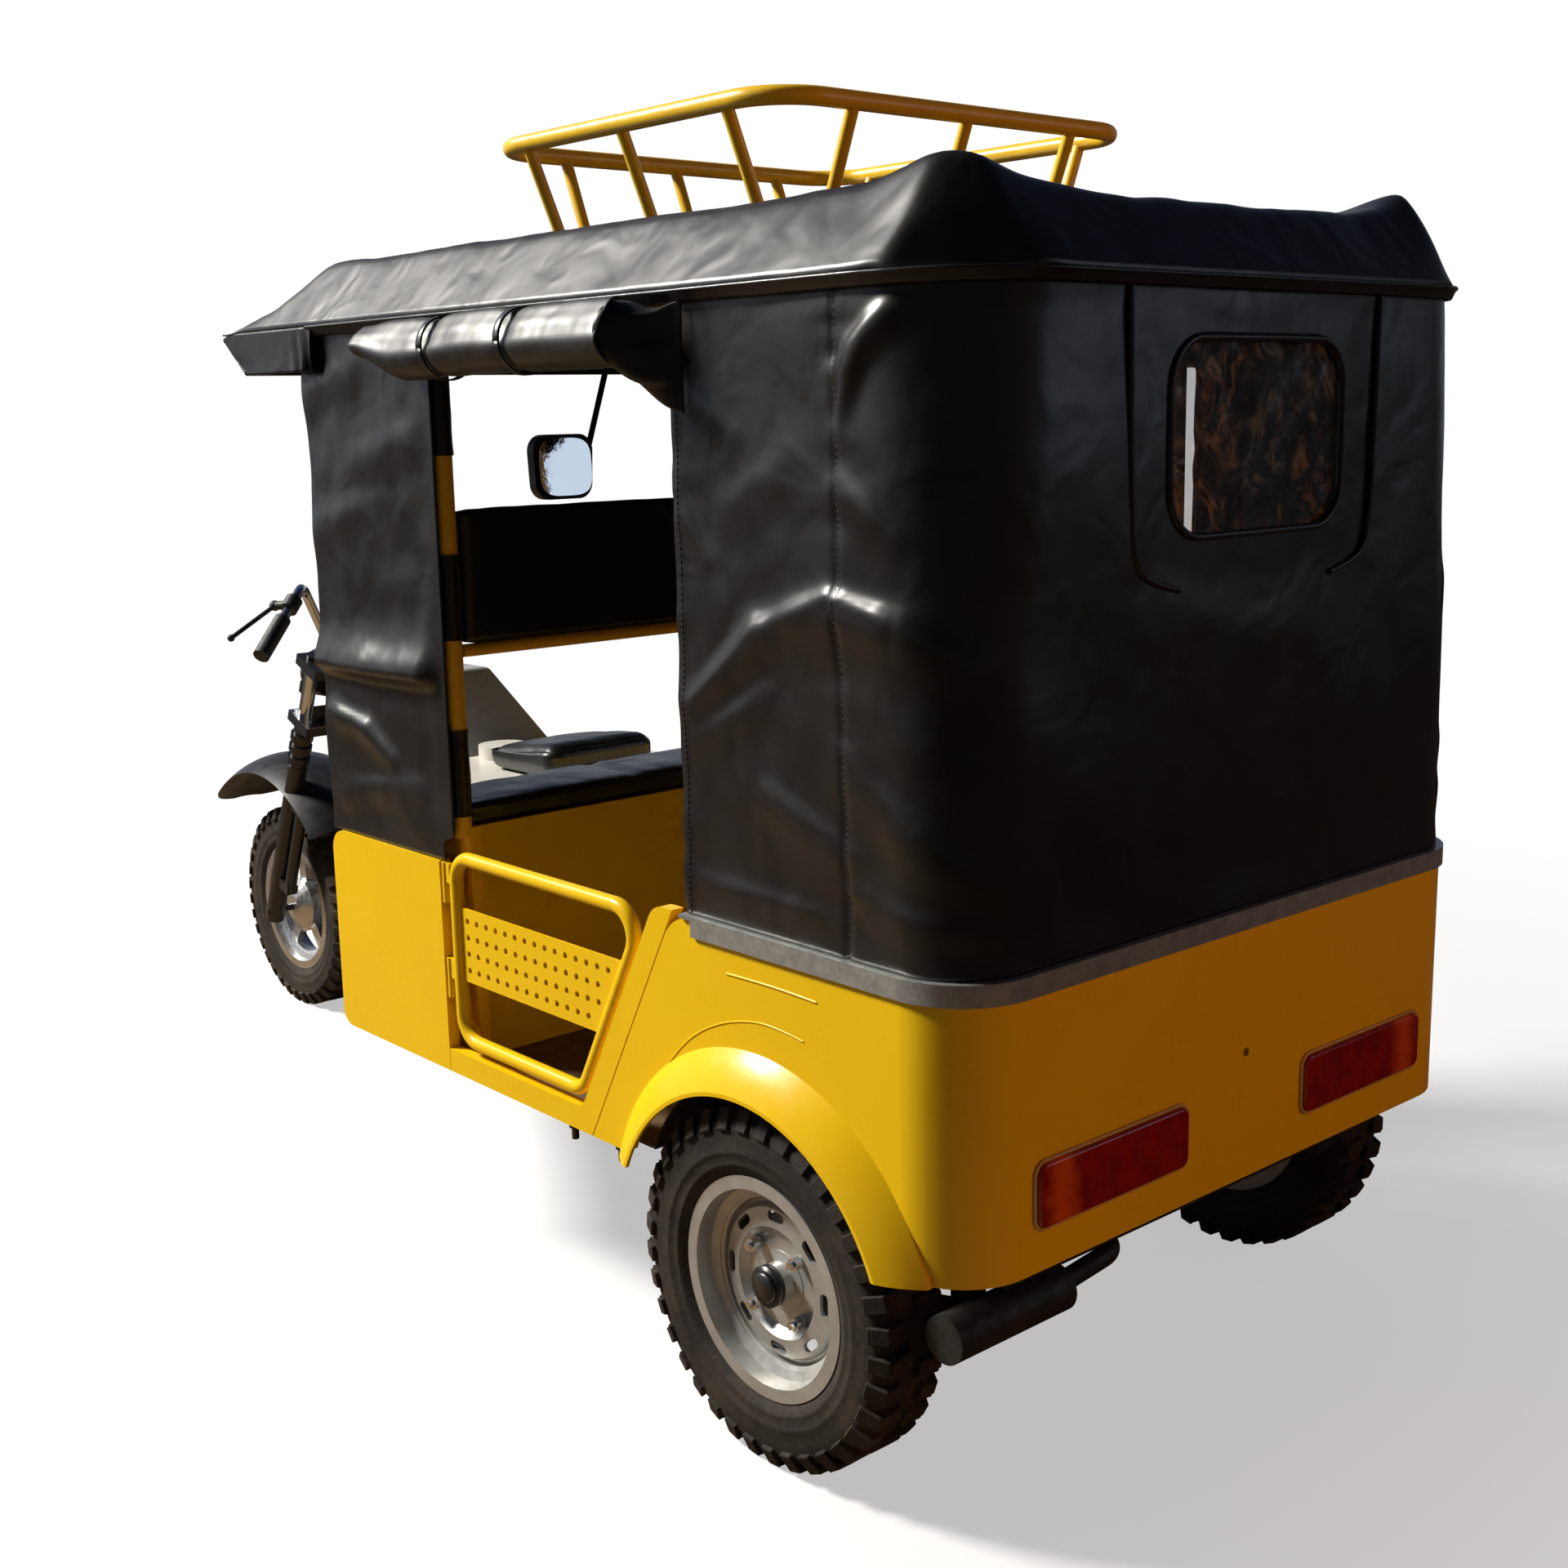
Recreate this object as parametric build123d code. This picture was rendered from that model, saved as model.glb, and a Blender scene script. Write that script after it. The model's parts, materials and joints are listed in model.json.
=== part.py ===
"""A three-wheeled passenger auto rickshaw with a vinyl hood, as named sub-parts.

Frame: +X forward, +Y to the left, +Z up, in millimetres. Every x below is
counted from the rear axle; export() then moves the whole so that the origin
lies on the ground under the middle of its box. The left side is drawn and
the right side is its mirror image.
"""

import math
import os

from build123d import *

# Wheels
REAR_TYRE_R = 268.0
REAR_TYRE_W = 124.0
FRONT_TYRE_R = 262.0
FRONT_TYRE_W = 96.0
RIM_FLANGE_R = 167.0
RIM_BEAD_R = 152.0
RIM_WELL_R = 130.0
RIM_WALL = 5.0
TRACK = 1096.0
WHEELBASE = 2530.0

# Steel body
BODY_HALF_W = 595.0
BODY_REAR = 398.0
BODY_BOTTOM = 384.0
BODY_TOP = 790.0
WALL = 22.0
CORNER_R = 112.0
FLOOR_T = 6.0
FLOOR_TOP = 400.0
ARCH_R = 292.0
FLARE_ROOT_R = 348.0
FLARE_OUT = 40.0
SEAM_FOOT_X = 408.0
SEAM_LEAN = 0.551
JAMB_W = 46.0
SILL_H = 41.0
PANEL_REAR_X = 835.0
PANEL_FRONT_X = 1215.0
PANEL_TOP = 762.0

# Hood
SEAM_HALF_W = 614.0
SEAM_Z = 1668.0
HEM_Z = 1656.0
ROOF_TOP = 1782.0
ROOF_HALF_W = 524.0
ROOF_REAR_X = -418.0
ROOF_FRONT_TOP_X = 1227.0
VISOR_TIP_X = 1496.0
VISOR_TIP_Z = 1660.0
VISOR_LOW_X = 1414.0
VISOR_LOW_Z = 1590.0
VISOR_BACK_X = 1165.0
CLOTH = 8.0
HOOD_CORNER_R = 200.0
CURTAIN_FRONT_X = 155.0

# Front end
RAKE = 24.0
FORK_OFFSET = 34.0
FORK_HALF_W = 92.0
FENDER_R = 404.0
FENDER_TIP, FENDER_HEEL = 38.0, 140.0

GAP = 0.3
MOVE_GAP = 6.0
TUBE_R = 12.5
POST_R = 15.0

REAR_REACH = -ROOF_REAR_X
FRONT_REACH = WHEELBASE + FENDER_R * math.cos(math.radians(FENDER_TIP))
MID_X = (FRONT_REACH - REAR_REACH) / 2

os.makedirs("parts", exist_ok=True)


def export(name, *solids):
    """Write one node, moved to the row's frame."""
    moved = [Pos(-MID_X, 0, 0) * solid for solid in solids]
    shape = moved[0] if len(moved) == 1 else Compound(children=moved)
    export_step(shape, f"parts/{name}.step")


def both_sides(solid):
    """A left-hand solid and its mirror image."""
    return [solid, mirror(solid, about=Plane.XZ)]


def block(x0, x1, y0, y1, z0, z1):
    """A box given by its limits."""
    centre = Pos((x0 + x1) / 2, (y0 + y1) / 2, (z0 + z1) / 2)
    return centre * Box(x1 - x0, y1 - y0, z1 - z0)


def side_prism(outline, y0, y1, rounds=()):
    """An outline in x and z carried from y0 to y1, some corners rounded."""
    face = make_face(Polyline(*outline, close=True))
    for (x, z), radius in rounds:
        corner = face.vertices().sort_by_distance((x, z, 0))[0]
        face = fillet(corner, radius)
    return extrude(Plane.XZ.offset(-y1) * face, y1 - y0)


def rod(start, end, radius):
    """A round bar between two points."""
    a, b = Vector(*start), Vector(*end)
    return extrude(Plane(a, z_dir=b - a) * Circle(radius), (b - a).length)


def tube_path(points, bend, radius, close=False):
    """A bent round bar along a rounded line of points."""
    path = FilletPolyline(*points, radius=bend, close=close)
    start = Plane(path @ 0, z_dir=path % 0)
    return sweep(start * Circle(radius), path=path)


def turned(profile, y_centre, x=0.0, z=0.0):
    """A profile of (radius, y) points turned about a line along Y."""
    points = [(y_centre + y, r) for r, y in profile]
    face = Plane.YZ * make_face(Polyline(*points, close=True))
    return Pos(x, 0, z) * revolve(face, Axis.Y)


def round_plan(half, back, front_x, corner):
    """An outline from above, square in front and round behind."""
    sheet = Pos((front_x - back) / 2, 0) * Rectangle(front_x + back, 2 * half)
    return fillet(sheet.vertices().sort_by(Axis.X)[:2], corner)


def body_plan(offset, front_x):
    """The body's outline from above, grown by an offset."""
    return round_plan(BODY_HALF_W + offset, BODY_REAR + offset, front_x, CORNER_R + offset)


def body_wall(outer, inner, z0, z1, front_x):
    """The part of the body's wall between two offsets and two heights."""
    ring = body_plan(outer, front_x) - body_plan(inner, front_x)
    return Pos(0, 0, z0) * extrude(ring, z1 - z0)


def seam_x(z):
    """The line where the rear quarter meets the door jamb."""
    return SEAM_FOOT_X - SEAM_LEAN * (z - BODY_BOTTOM)


# Wheels. Profiles are (radius, distance outward from the wheel's middle).
def tyre(radius, width, bead_half):
    half, crown = width / 2, radius - 0.06 * radius
    edge = [(RIM_BEAD_R + GAP, bead_half - 1.5), (RIM_FLANGE_R + 1, bead_half - 0.5),
            (RIM_FLANGE_R + 12, half - 5), (0.5 * (RIM_FLANGE_R + radius), half),
            (crown, half - 3), (radius - 4, half - 14), (radius, half - 28)]
    return edge + [(r, -y) for r, y in reversed(edge)]


LUG_DEPTH, LUG_GAP = 11.0, 14.0


def lug_cuts(radius, width, count, y_centre, x):
    """The gaps between shoulder lugs, in step on one side and half a step on the other."""
    depth, run = LUG_DEPTH + 6, 0.32 * width
    gap = Box(LUG_GAP, run, depth)
    cuts = []
    for turn in range(2 * count):
        side = 1 if turn % 2 else -1
        place = Pos(0, side * (width / 2 - 0.26 * width + run / 2 + 6), radius - LUG_DEPTH + depth / 2)
        cuts.append(Pos(x, y_centre, radius) * Rot(0, 180 / count * turn, 0) * place * gap)
    return cuts


def barrel(bead_half):
    r, w = RIM_WALL, bead_half + RIM_WALL
    outer = [(RIM_FLANGE_R, w), (RIM_FLANGE_R, w - r), (RIM_BEAD_R, bead_half - 1),
             (RIM_BEAD_R - 3, 26), (RIM_WELL_R, 18)]
    inner = [(RIM_WELL_R - r, 14), (RIM_BEAD_R - 3 - r, 24), (RIM_BEAD_R - r, w)]
    ring = outer + [(a, -b) for a, b in reversed(outer)]
    return ring + [(a, -b) for a, b in inner[::-1]] + inner


REAR_BEAD_HALF = 45.0
FRONT_BEAD_HALF = 33.0
HUB_Y = TRACK / 2
STUB_R = 15.0
DISC = [(RIM_WELL_R - 2, 4), (RIM_WELL_R - 2, -3), (112, 3), (108, 12), (86, 15), (76, 3),
        (40, 3), (40, 9), (72, 9), (84, 21), (112, 18), (118, 8)]
HUB = [(STUB_R + GAP, -66), (95, -66), (95, -18), (62, -10), (46, -2), (46, 10),
       (30, 12), (28, 36), (22, 41), (STUB_R + GAP, 41)]
SLOTS, SLOT_R, STUDS, STUD_PCD = 8, 101.0, 4, 65.0


def rear_rim():
    """A pressed steel wheel with its drum and hub, on the left side."""
    wheel = turned(barrel(REAR_BEAD_HALF), HUB_Y, z=REAR_TYRE_R)
    wheel += turned(DISC, HUB_Y, z=REAR_TYRE_R)
    wheel += turned(HUB, HUB_Y, z=REAR_TYRE_R)
    slot = extrude(Plane.XZ * SlotOverall(34, 15), 80, both=True)
    for turn in range(SLOTS):
        spin = Rot(0, 360 / SLOTS * turn, 0)
        wheel -= Pos(0, HUB_Y + 14, REAR_TYRE_R) * spin * Pos(0, 0, SLOT_R) * slot
    for turn in range(STUDS):
        a = math.radians(360 / STUDS * turn + 45)
        x, z = STUD_PCD * math.cos(a), STUD_PCD * math.sin(a)
        wheel += rod((x, HUB_Y + 4, REAR_TYRE_R + z), (x, HUB_Y + 20, REAR_TYRE_R + z), 9)
    return wheel


for side, rim_solid in zip(("left", "right"), both_sides(rear_rim())):
    export(f"rear_rim_{side}", rim_solid)
REAR_LUGS, FRONT_LUGS = 36, 32
rear_tyre = turned(tyre(REAR_TYRE_R, REAR_TYRE_W, REAR_BEAD_HALF), HUB_Y, z=REAR_TYRE_R)
rear_tyre -= lug_cuts(REAR_TYRE_R, REAR_TYRE_W, REAR_LUGS, HUB_Y, 0)
for side, tyre_solid in zip(("left", "right"), both_sides(rear_tyre)):
    export(f"rear_tyre_{side}", tyre_solid)

AXLE_R = 9.0
front_rim = turned(barrel(FRONT_BEAD_HALF), 0, WHEELBASE, FRONT_TYRE_R)
front_rim += turned([(AXLE_R + GAP, -46), (66, -46), (70, -30), (70, 22), (52, 34),
                     (30, 46), (AXLE_R + GAP, 46)], 0, WHEELBASE, FRONT_TYRE_R)
SPOKES = 5
for turn in range(SPOKES):
    arm = Pos(0, 0, (RIM_WELL_R + 60) / 2) * Box(34, 20, RIM_WELL_R - 62)
    front_rim += Pos(WHEELBASE, 0, FRONT_TYRE_R) * Rot(0, 360 / SPOKES * turn, 0) * arm
export("front_rim", front_rim)
front_tyre = turned(tyre(FRONT_TYRE_R, FRONT_TYRE_W, FRONT_BEAD_HALF), 0, WHEELBASE, FRONT_TYRE_R)
export("front_tyre", front_tyre - lug_cuts(FRONT_TYRE_R, FRONT_TYRE_W, FRONT_LUGS, 0, WHEELBASE))

# Chassis: two rails, cross members between them and the neck to the steering head
RAIL_Y, RAIL_W, RAIL_H = 430.0, 40.0, 60.0
RAIL_TOP = FLOOR_TOP - FLOOR_T - GAP
RAIL_BOTTOM = RAIL_TOP - RAIL_H
CROSS_W = 40.0
REAR_CROSS_X = -BODY_REAR + WALL + 41
NECK_CROSS_X = 965.0
CROSSES = (REAR_CROSS_X, 370.0, 740.0, NECK_CROSS_X)
rails = both_sides(block(REAR_CROSS_X, PANEL_FRONT_X, RAIL_Y - RAIL_W / 2,
                         RAIL_Y + RAIL_W / 2, RAIL_BOTTOM, RAIL_TOP))
inner_y = RAIL_Y - RAIL_W / 2 - GAP
crosses = [block(x, x + CROSS_W, -inner_y, inner_y, RAIL_BOTTOM, RAIL_TOP) for x in CROSSES]
export("chassis_rails", *rails, *crosses)

rake = math.radians(RAKE)
up_axis = Vector(-math.sin(rake), 0, math.cos(rake))
fore_axis = Vector(math.cos(rake), 0, math.sin(rake))
STEER_FOOT = Vector(WHEELBASE, 0, FRONT_TYRE_R) - fore_axis * FORK_OFFSET
STEER = Plane(STEER_FOOT, x_dir=fore_axis, z_dir=up_axis)
LOWER_CLAMP, UPPER_CLAMP, CLAMP_T = 565.0, 722.0, 26.0
STEM_R, HEAD_R = 14.0, 28.0


def steer_cyl(x, y, z0, z1, radius):
    """A bar along the steering axis, placed in the fork's own frame."""
    return STEER * Pos(x, y, (z0 + z1) / 2) * Cylinder(radius, z1 - z0)


head_low, head_high = LOWER_CLAMP + CLAMP_T + 1, UPPER_CLAMP - 1
head_mid = STEER_FOOT + up_axis * ((head_low + head_high) / 2)
NECK_R, NECK_BEND_X = 21.0, WHEELBASE - 680
neck = steer_cyl(0, 0, head_low, head_high, HEAD_R)
neck_z = RAIL_BOTTOM + NECK_R
for sign in (1, -1):
    line = [(NECK_CROSS_X, sign * 272.0, neck_z), (NECK_BEND_X, sign * 60.0, neck_z),
            (head_mid.X - 10, sign * 12.0, head_mid.Z - 6)]
    neck += tube_path(line, 120, NECK_R)
neck -= steer_cyl(0, 0, head_low - 40, head_high + 40, STEM_R + 0.5)
neck -= block(0, NECK_CROSS_X + CROSS_W + GAP, -400, 400, 200, 500)
export("neck_frame", neck)

# Floor, cut round the engine and the rear wheels
ENGINE_X0, ENGINE_X1, ENGINE_HALF_W = 1040.0, 1400.0, 108.0
FLOOR_HALF_W = BODY_HALF_W - WALL - GAP
HOUSING_Y = RAIL_Y + RAIL_W / 2 + 4
HOUSING_R = ARCH_R + 14
DECK_SHOULDER_X, DECK_FRONT_X = WHEELBASE - 1030, NECK_BEND_X - 10
deck = [(-BODY_REAR + WALL + 4, -FLOOR_HALF_W + 95), (-BODY_REAR + WALL + 4, FLOOR_HALF_W - 95),
        (-BODY_REAR + 120, FLOOR_HALF_W), (PANEL_FRONT_X, FLOOR_HALF_W), (DECK_SHOULDER_X, 400.0),
        (DECK_FRONT_X, 215.0), (DECK_FRONT_X, -215.0), (DECK_SHOULDER_X, -400.0),
        (PANEL_FRONT_X, -FLOOR_HALF_W),
        (-BODY_REAR + 120, -FLOOR_HALF_W)]
floor = Pos(0, 0, FLOOR_TOP - FLOOR_T) * extrude(make_face(Polyline(*deck, close=True)), FLOOR_T)
floor -= block(ENGINE_X0 - 12, ENGINE_X1 + 12, -ENGINE_HALF_W - 12, ENGINE_HALF_W + 12, 380, 420)
for sign in (1, -1):
    floor -= Pos(0, sign * BODY_HALF_W, REAR_TYRE_R) * Rot(90, 0, 0) \
        * Cylinder(HOUSING_R + 3, 2 * (BODY_HALF_W - HOUSING_Y))
export("floor_pan", floor)

# Rear tub: one pressed skin round both quarters and the back
wheel_line = Axis((0, 0, REAR_TYRE_R), (0, 1, 0))
tub = body_wall(0, -WALL, BODY_BOTTOM, BODY_TOP, SEAM_FOOT_X)
tub &= side_prism([(-BODY_REAR - 9, BODY_BOTTOM), (SEAM_FOOT_X, BODY_BOTTOM),
                   (seam_x(BODY_TOP), BODY_TOP), (-BODY_REAR - 9, BODY_TOP)],
                  -BODY_HALF_W - 9, BODY_HALF_W + 9, [((seam_x(BODY_TOP), BODY_TOP), 70)])
tub -= Pos(0, 0, REAR_TYRE_R) * Rot(90, 0, 0) * Cylinder(FLARE_ROOT_R - 8, 2 * BODY_HALF_W + 100)
edge_y = BODY_HALF_W + FLARE_OUT
z0 = REAR_TYRE_R
flare_outer = ThreePointArc((BODY_HALF_W, z0 + FLARE_ROOT_R + 6), (BODY_HALF_W + 27, z0 + 322),
                            (edge_y, z0 + ARCH_R + 6))
flare_inner = ThreePointArc((edge_y - 6, z0 + ARCH_R), (BODY_HALF_W + 20, z0 + 316),
                            (BODY_HALF_W - 8, z0 + FLARE_ROOT_R - 12))
flare_edges = [flare_outer, Line(flare_outer @ 1, (edge_y, z0 + ARCH_R)),
               Line((edge_y, z0 + ARCH_R), flare_inner @ 0), flare_inner,
               Line(flare_inner @ 1, (BODY_HALF_W - 8, z0 + FLARE_ROOT_R + 6)),
               Line((BODY_HALF_W - 8, z0 + FLARE_ROOT_R + 6), flare_outer @ 0)]
flare = revolve(Plane.YZ * make_face(flare_edges), wheel_line)
flare &= block(-2 * FLARE_ROOT_R, 2 * FLARE_ROOT_R, BODY_HALF_W / 2, 2 * BODY_HALF_W,
               BODY_BOTTOM, 2 * BODY_TOP)
for solid in both_sides(flare):
    tub += solid
LAMP_Y0, LAMP_Y1, LAMP_Z0, LAMP_Z1 = 143.0, 460.0, 446.0, 536.0
LAMP_SEAT, LAMP_PROUD = 6.0, 10.0
HOLE_R, HOLE_Z = 7.0, 578.0
tub -= Pos(-BODY_REAR, 0, HOLE_Z) * Rot(0, 90, 0) * Cylinder(HOLE_R, 3 * WALL)


def lamp_block(grow, depth_in, depth_out):
    """The left tail lamp's rounded block, grown by a clearance."""
    face = RectangleRounded(LAMP_Y1 - LAMP_Y0 + 2 * grow, LAMP_Z1 - LAMP_Z0 + 2 * grow, 16 + grow)
    plane = Plane((-BODY_REAR + depth_in, (LAMP_Y0 + LAMP_Y1) / 2, (LAMP_Z0 + LAMP_Z1) / 2),
                  x_dir=(0, -1, 0), z_dir=(-1, 0, 0))
    return extrude(plane * face, depth_in + depth_out)


for solid in both_sides(lamp_block(GAP, LAMP_SEAT, 9)):
    tub -= solid
export("rear_tub", tub)
lamp = lamp_block(0, LAMP_SEAT - GAP, LAMP_PROUD)
lamp = fillet(lamp.faces().sort_by(Axis.X)[0].edges(), 5)
export("tail_lamps", *both_sides(lamp))

STRIP_OUT, STRIP_DROP, STRIP_TOP = 6.0, 24.0, 6.0
strip = body_wall(STRIP_OUT, -WALL, BODY_TOP + GAP, BODY_TOP + STRIP_TOP, CURTAIN_FRONT_X + 6)
strip += body_wall(STRIP_OUT, GAP, BODY_TOP - STRIP_DROP, BODY_TOP + STRIP_TOP, CURTAIN_FRONT_X - 20)
export("trim_strip", strip)

# Wheel housings inside the quarters
housing = Pos(0, (HOUSING_Y + FLOOR_HALF_W) / 2, REAR_TYRE_R) * Rot(90, 0, 0) \
    * Cylinder(HOUSING_R, FLOOR_HALF_W - HOUSING_Y)
housing -= Pos(0, (HOUSING_Y + 4 + FLOOR_HALF_W + 9) / 2, REAR_TYRE_R) * Rot(90, 0, 0) \
    * Cylinder(HOUSING_R - 4, FLOOR_HALF_W + 5 - HOUSING_Y)
housing &= block(-2 * HOUSING_R, 2 * HOUSING_R, 0, BODY_HALF_W, FLOOR_TOP - FLOOR_T, 2 * BODY_TOP)
export("wheel_housings", *both_sides(housing))

# Sills with the slanted door jambs, and the flat panels beside the driver
jamb_gap = 3.0
jamb_x = SEAM_FOOT_X + jamb_gap
sill_top = BODY_BOTTOM + SILL_H
jamb_top = BODY_TOP + STRIP_TOP
jamb_head = seam_x(jamb_top) + jamb_gap
jamb_inner_foot = (seam_x(sill_top) + jamb_gap + JAMB_W, sill_top)
sill_outline = [(jamb_x, BODY_BOTTOM), (PANEL_REAR_X - 2, BODY_BOTTOM), (PANEL_REAR_X - 2, sill_top),
                jamb_inner_foot, (jamb_head + JAMB_W, jamb_top), (jamb_head, jamb_top)]
sill = side_prism(sill_outline, BODY_HALF_W - WALL, BODY_HALF_W,
                  [(jamb_inner_foot, 30), ((jamb_head + JAMB_W, jamb_top), 38)])
export("side_sills", *both_sides(sill))

HINGE_X, HINGE_Y, HINGE_R = PANEL_REAR_X - 10, BODY_HALF_W - 7, 7.0
HINGE_Z = (520.0, 690.0)
KNUCKLE = 35.0
panel = side_prism([(PANEL_REAR_X, BODY_BOTTOM), (PANEL_FRONT_X, BODY_BOTTOM),
                    (PANEL_FRONT_X, PANEL_TOP), (PANEL_REAR_X, PANEL_TOP)],
                   BODY_HALF_W - WALL, BODY_HALF_W,
                   [((PANEL_FRONT_X, PANEL_TOP), 40), ((PANEL_FRONT_X, BODY_BOTTOM), 30)])
for z in HINGE_Z:
    panel += rod((HINGE_X, HINGE_Y, z), (HINGE_X, HINGE_Y, z + KNUCKLE), HINGE_R)
    panel += block(HINGE_X, PANEL_REAR_X + 2, HINGE_Y - 4, HINGE_Y + 4, z, z + KNUCKLE)
export("front_panels", *both_sides(panel))

# Gates: a bent tube with a perforated plate across it, hung on the panel
GATE_Y = BODY_HALF_W - 14
GATE_TOP = 773.0
GATE_LOW = sill_top + 10 + TUBE_R
GATE_FRONT_X = PANEL_REAR_X - 32
reach = (MOVE_GAP + 2 + TUBE_R) / math.cos(math.atan(SEAM_LEAN))


def gate_back(z):
    """The gate tube's middle along the slanted jamb."""
    return seam_x(z) + jamb_gap + JAMB_W + reach


gate_line = [(GATE_FRONT_X, GATE_Y, GATE_LOW), (gate_back(GATE_LOW), GATE_Y, GATE_LOW),
             (gate_back(GATE_TOP), GATE_Y, GATE_TOP), (GATE_FRONT_X, GATE_Y, GATE_TOP)]
gate = tube_path(gate_line, 45, TUBE_R, close=True)
for z in HINGE_Z:
    low = z + KNUCKLE + 0.5
    gate += rod((HINGE_X, HINGE_Y, low), (HINGE_X, HINGE_Y, low + KNUCKLE), HINGE_R)
    gate += block(GATE_FRONT_X + 6, HINGE_X, HINGE_Y - 4, HINGE_Y + 4, low, low + KNUCKLE)
for side, solid in zip(("left", "right"), both_sides(gate)):
    export(f"gate_frame_{side}", solid)

PLATE_T, PLATE_Z0, PLATE_Z1 = 4.0, 555.0, 685.0
HOLE_D, HOLE_PITCH, HOLE_ROWS = 11.0, 29.0, 4
plate_gap = (TUBE_R + GAP) / math.cos(math.atan(SEAM_LEAN))
plate = side_prism([(GATE_FRONT_X - TUBE_R - GAP, PLATE_Z0), (GATE_FRONT_X - TUBE_R - GAP, PLATE_Z1),
                    (gate_back(PLATE_Z1) + plate_gap, PLATE_Z1), (gate_back(PLATE_Z0) + plate_gap, PLATE_Z0)],
                   GATE_Y - PLATE_T / 2, GATE_Y + PLATE_T / 2)
for row in range(HOLE_ROWS):
    z = (PLATE_Z0 + PLATE_Z1) / 2 + (row - (HOLE_ROWS - 1) / 2) * HOLE_PITCH
    x = GATE_FRONT_X - TUBE_R - 18
    while x > gate_back(z) + plate_gap + 12:
        plate -= Pos(x, GATE_Y, z) * Rot(90, 0, 0) * Cylinder(HOLE_D / 2, 4 * PLATE_T)
        x -= HOLE_PITCH
for side, solid in zip(("left", "right"), both_sides(plate)):
    export(f"gate_plate_{side}", solid)

# Seats
BOX_X0, BOX_X1, BOX_TOP = 816.0, 985.0, 815.0
SEAT_HALF_W = 556.0
box = block(BOX_X0, BOX_X1, -SEAT_HALF_W, SEAT_HALF_W, FLOOR_TOP + GAP, BOX_TOP)
box -= block(BOX_X0 + 15, BOX_X1 - 15, -SEAT_HALF_W + 15, SEAT_HALF_W - 15, FLOOR_TOP - 9, BOX_TOP - 15)
export("front_box", box)
pad = block(BOX_X0, BOX_X1, -SEAT_HALF_W, SEAT_HALF_W, BOX_TOP + GAP, BOX_TOP + 46)
export("front_box_pad", fillet(pad.edges().group_by(Axis.Z)[-1], 14))

REAR_BOX_X1, REAR_BOX_TOP = 118.0, 722.0
rear_half_w = HOUSING_Y - 4
rear_box = block(-BODY_REAR + WALL + 18, REAR_BOX_X1, -rear_half_w, rear_half_w,
                 FLOOR_TOP + GAP, REAR_BOX_TOP)
rear_box -= block(-BODY_REAR + WALL + 33, REAR_BOX_X1 - 15, -rear_half_w + 15, rear_half_w - 15,
                  FLOOR_TOP - 9, REAR_BOX_TOP - 15)
export("rear_seat_box", rear_box)
SEAT_TOP = REAR_BOX_TOP + 100
BENCH_HALF_W = BODY_HALF_W - WALL - 2 * POST_R - 7
bench = block(-BODY_REAR + WALL + 30, REAR_BOX_X1 + 26, -BENCH_HALF_W, BENCH_HALF_W,
              REAR_BOX_TOP + GAP, SEAT_TOP)
bench = fillet(bench.edges().filter_by(Axis.Z), 45)
export("rear_bench_cushion", fillet(bench.edges().group_by(Axis.Z)[-1], 30))
BACK_X0, BACK_TOP, BACK_HALF_W = -BODY_REAR + WALL + 42, 1250.0, 500.0
back_outline = [(BACK_X0, SEAT_TOP + GAP), (BACK_X0 + 120, SEAT_TOP + GAP),
                (BACK_X0 + 78, BACK_TOP), (BACK_X0, BACK_TOP)]
back = side_prism(back_outline, -BACK_HALF_W, BACK_HALF_W, [((BACK_X0 + 78, BACK_TOP), 30)])
export("rear_backrest", back)

# Hood frame: posts, rails, bows and struts, each a straight bar
FRAME_Y = BODY_HALF_W - WALL - GAP - POST_R
RAIL_Z = HEM_Z - 6
BOW_Z = ROOF_TOP - CLOTH - GAP - TUBE_R
BOW_HALF_W = ROOF_HALF_W - 30
B_POST_X, B_POST_Y, B_POST_R = 799.0, 566.0, 16.0
REAR_POST_X, DOOR_POST_X, FRONT_POST_X = -262.0, 170.0, 1195.0
POST_FOOT = 640.0
POSTS = [(REAR_POST_X, FRAME_Y - 3, POST_R, POST_FOOT), (DOOR_POST_X, FRAME_Y, POST_R, POST_FOOT),
         (FRONT_POST_X, FRAME_Y, POST_R, FLOOR_TOP)]
left_bars = []
for x, y, r, z in POSTS:
    left_bars.append(rod((x, y, z + GAP), (x, y, RAIL_Z - TUBE_R - GAP), r))
b_post = rod((B_POST_X, B_POST_Y, 806.0), (B_POST_X, B_POST_Y, RAIL_Z - TUBE_R - GAP), B_POST_R)
b_post += block(B_POST_X - B_POST_R, BOX_X0 - 1, 540.0, GATE_Y - TUBE_R - MOVE_GAP, FLOOR_TOP + GAP, 822.0)
left_bars.append(b_post)
left_bars.append(rod((REAR_POST_X - TUBE_R, FRAME_Y, RAIL_Z), (PANEL_FRONT_X, FRAME_Y, RAIL_Z), TUBE_R))
left_bars.append(rod((REAR_POST_X - 2, BOW_HALF_W, BOW_Z),
                     (ROOF_FRONT_TOP_X - 20, BOW_HALF_W, BOW_Z), TUBE_R))
BOWS = (REAR_POST_X + 10, 190.0, 700.0, FRONT_POST_X)
lean = Vector(0, BOW_HALF_W - FRAME_Y, BOW_Z - RAIL_Z).normalized()
for x in BOWS:
    low = Vector(x, FRAME_Y, RAIL_Z) + lean * (TUBE_R + GAP)
    high = Vector(x, BOW_HALF_W, BOW_Z) - lean * (TUBE_R + GAP)
    left_bars.append(rod(tuple(low), tuple(high), 9))
bars = [solid for bar in left_bars for solid in both_sides(bar)]
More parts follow.
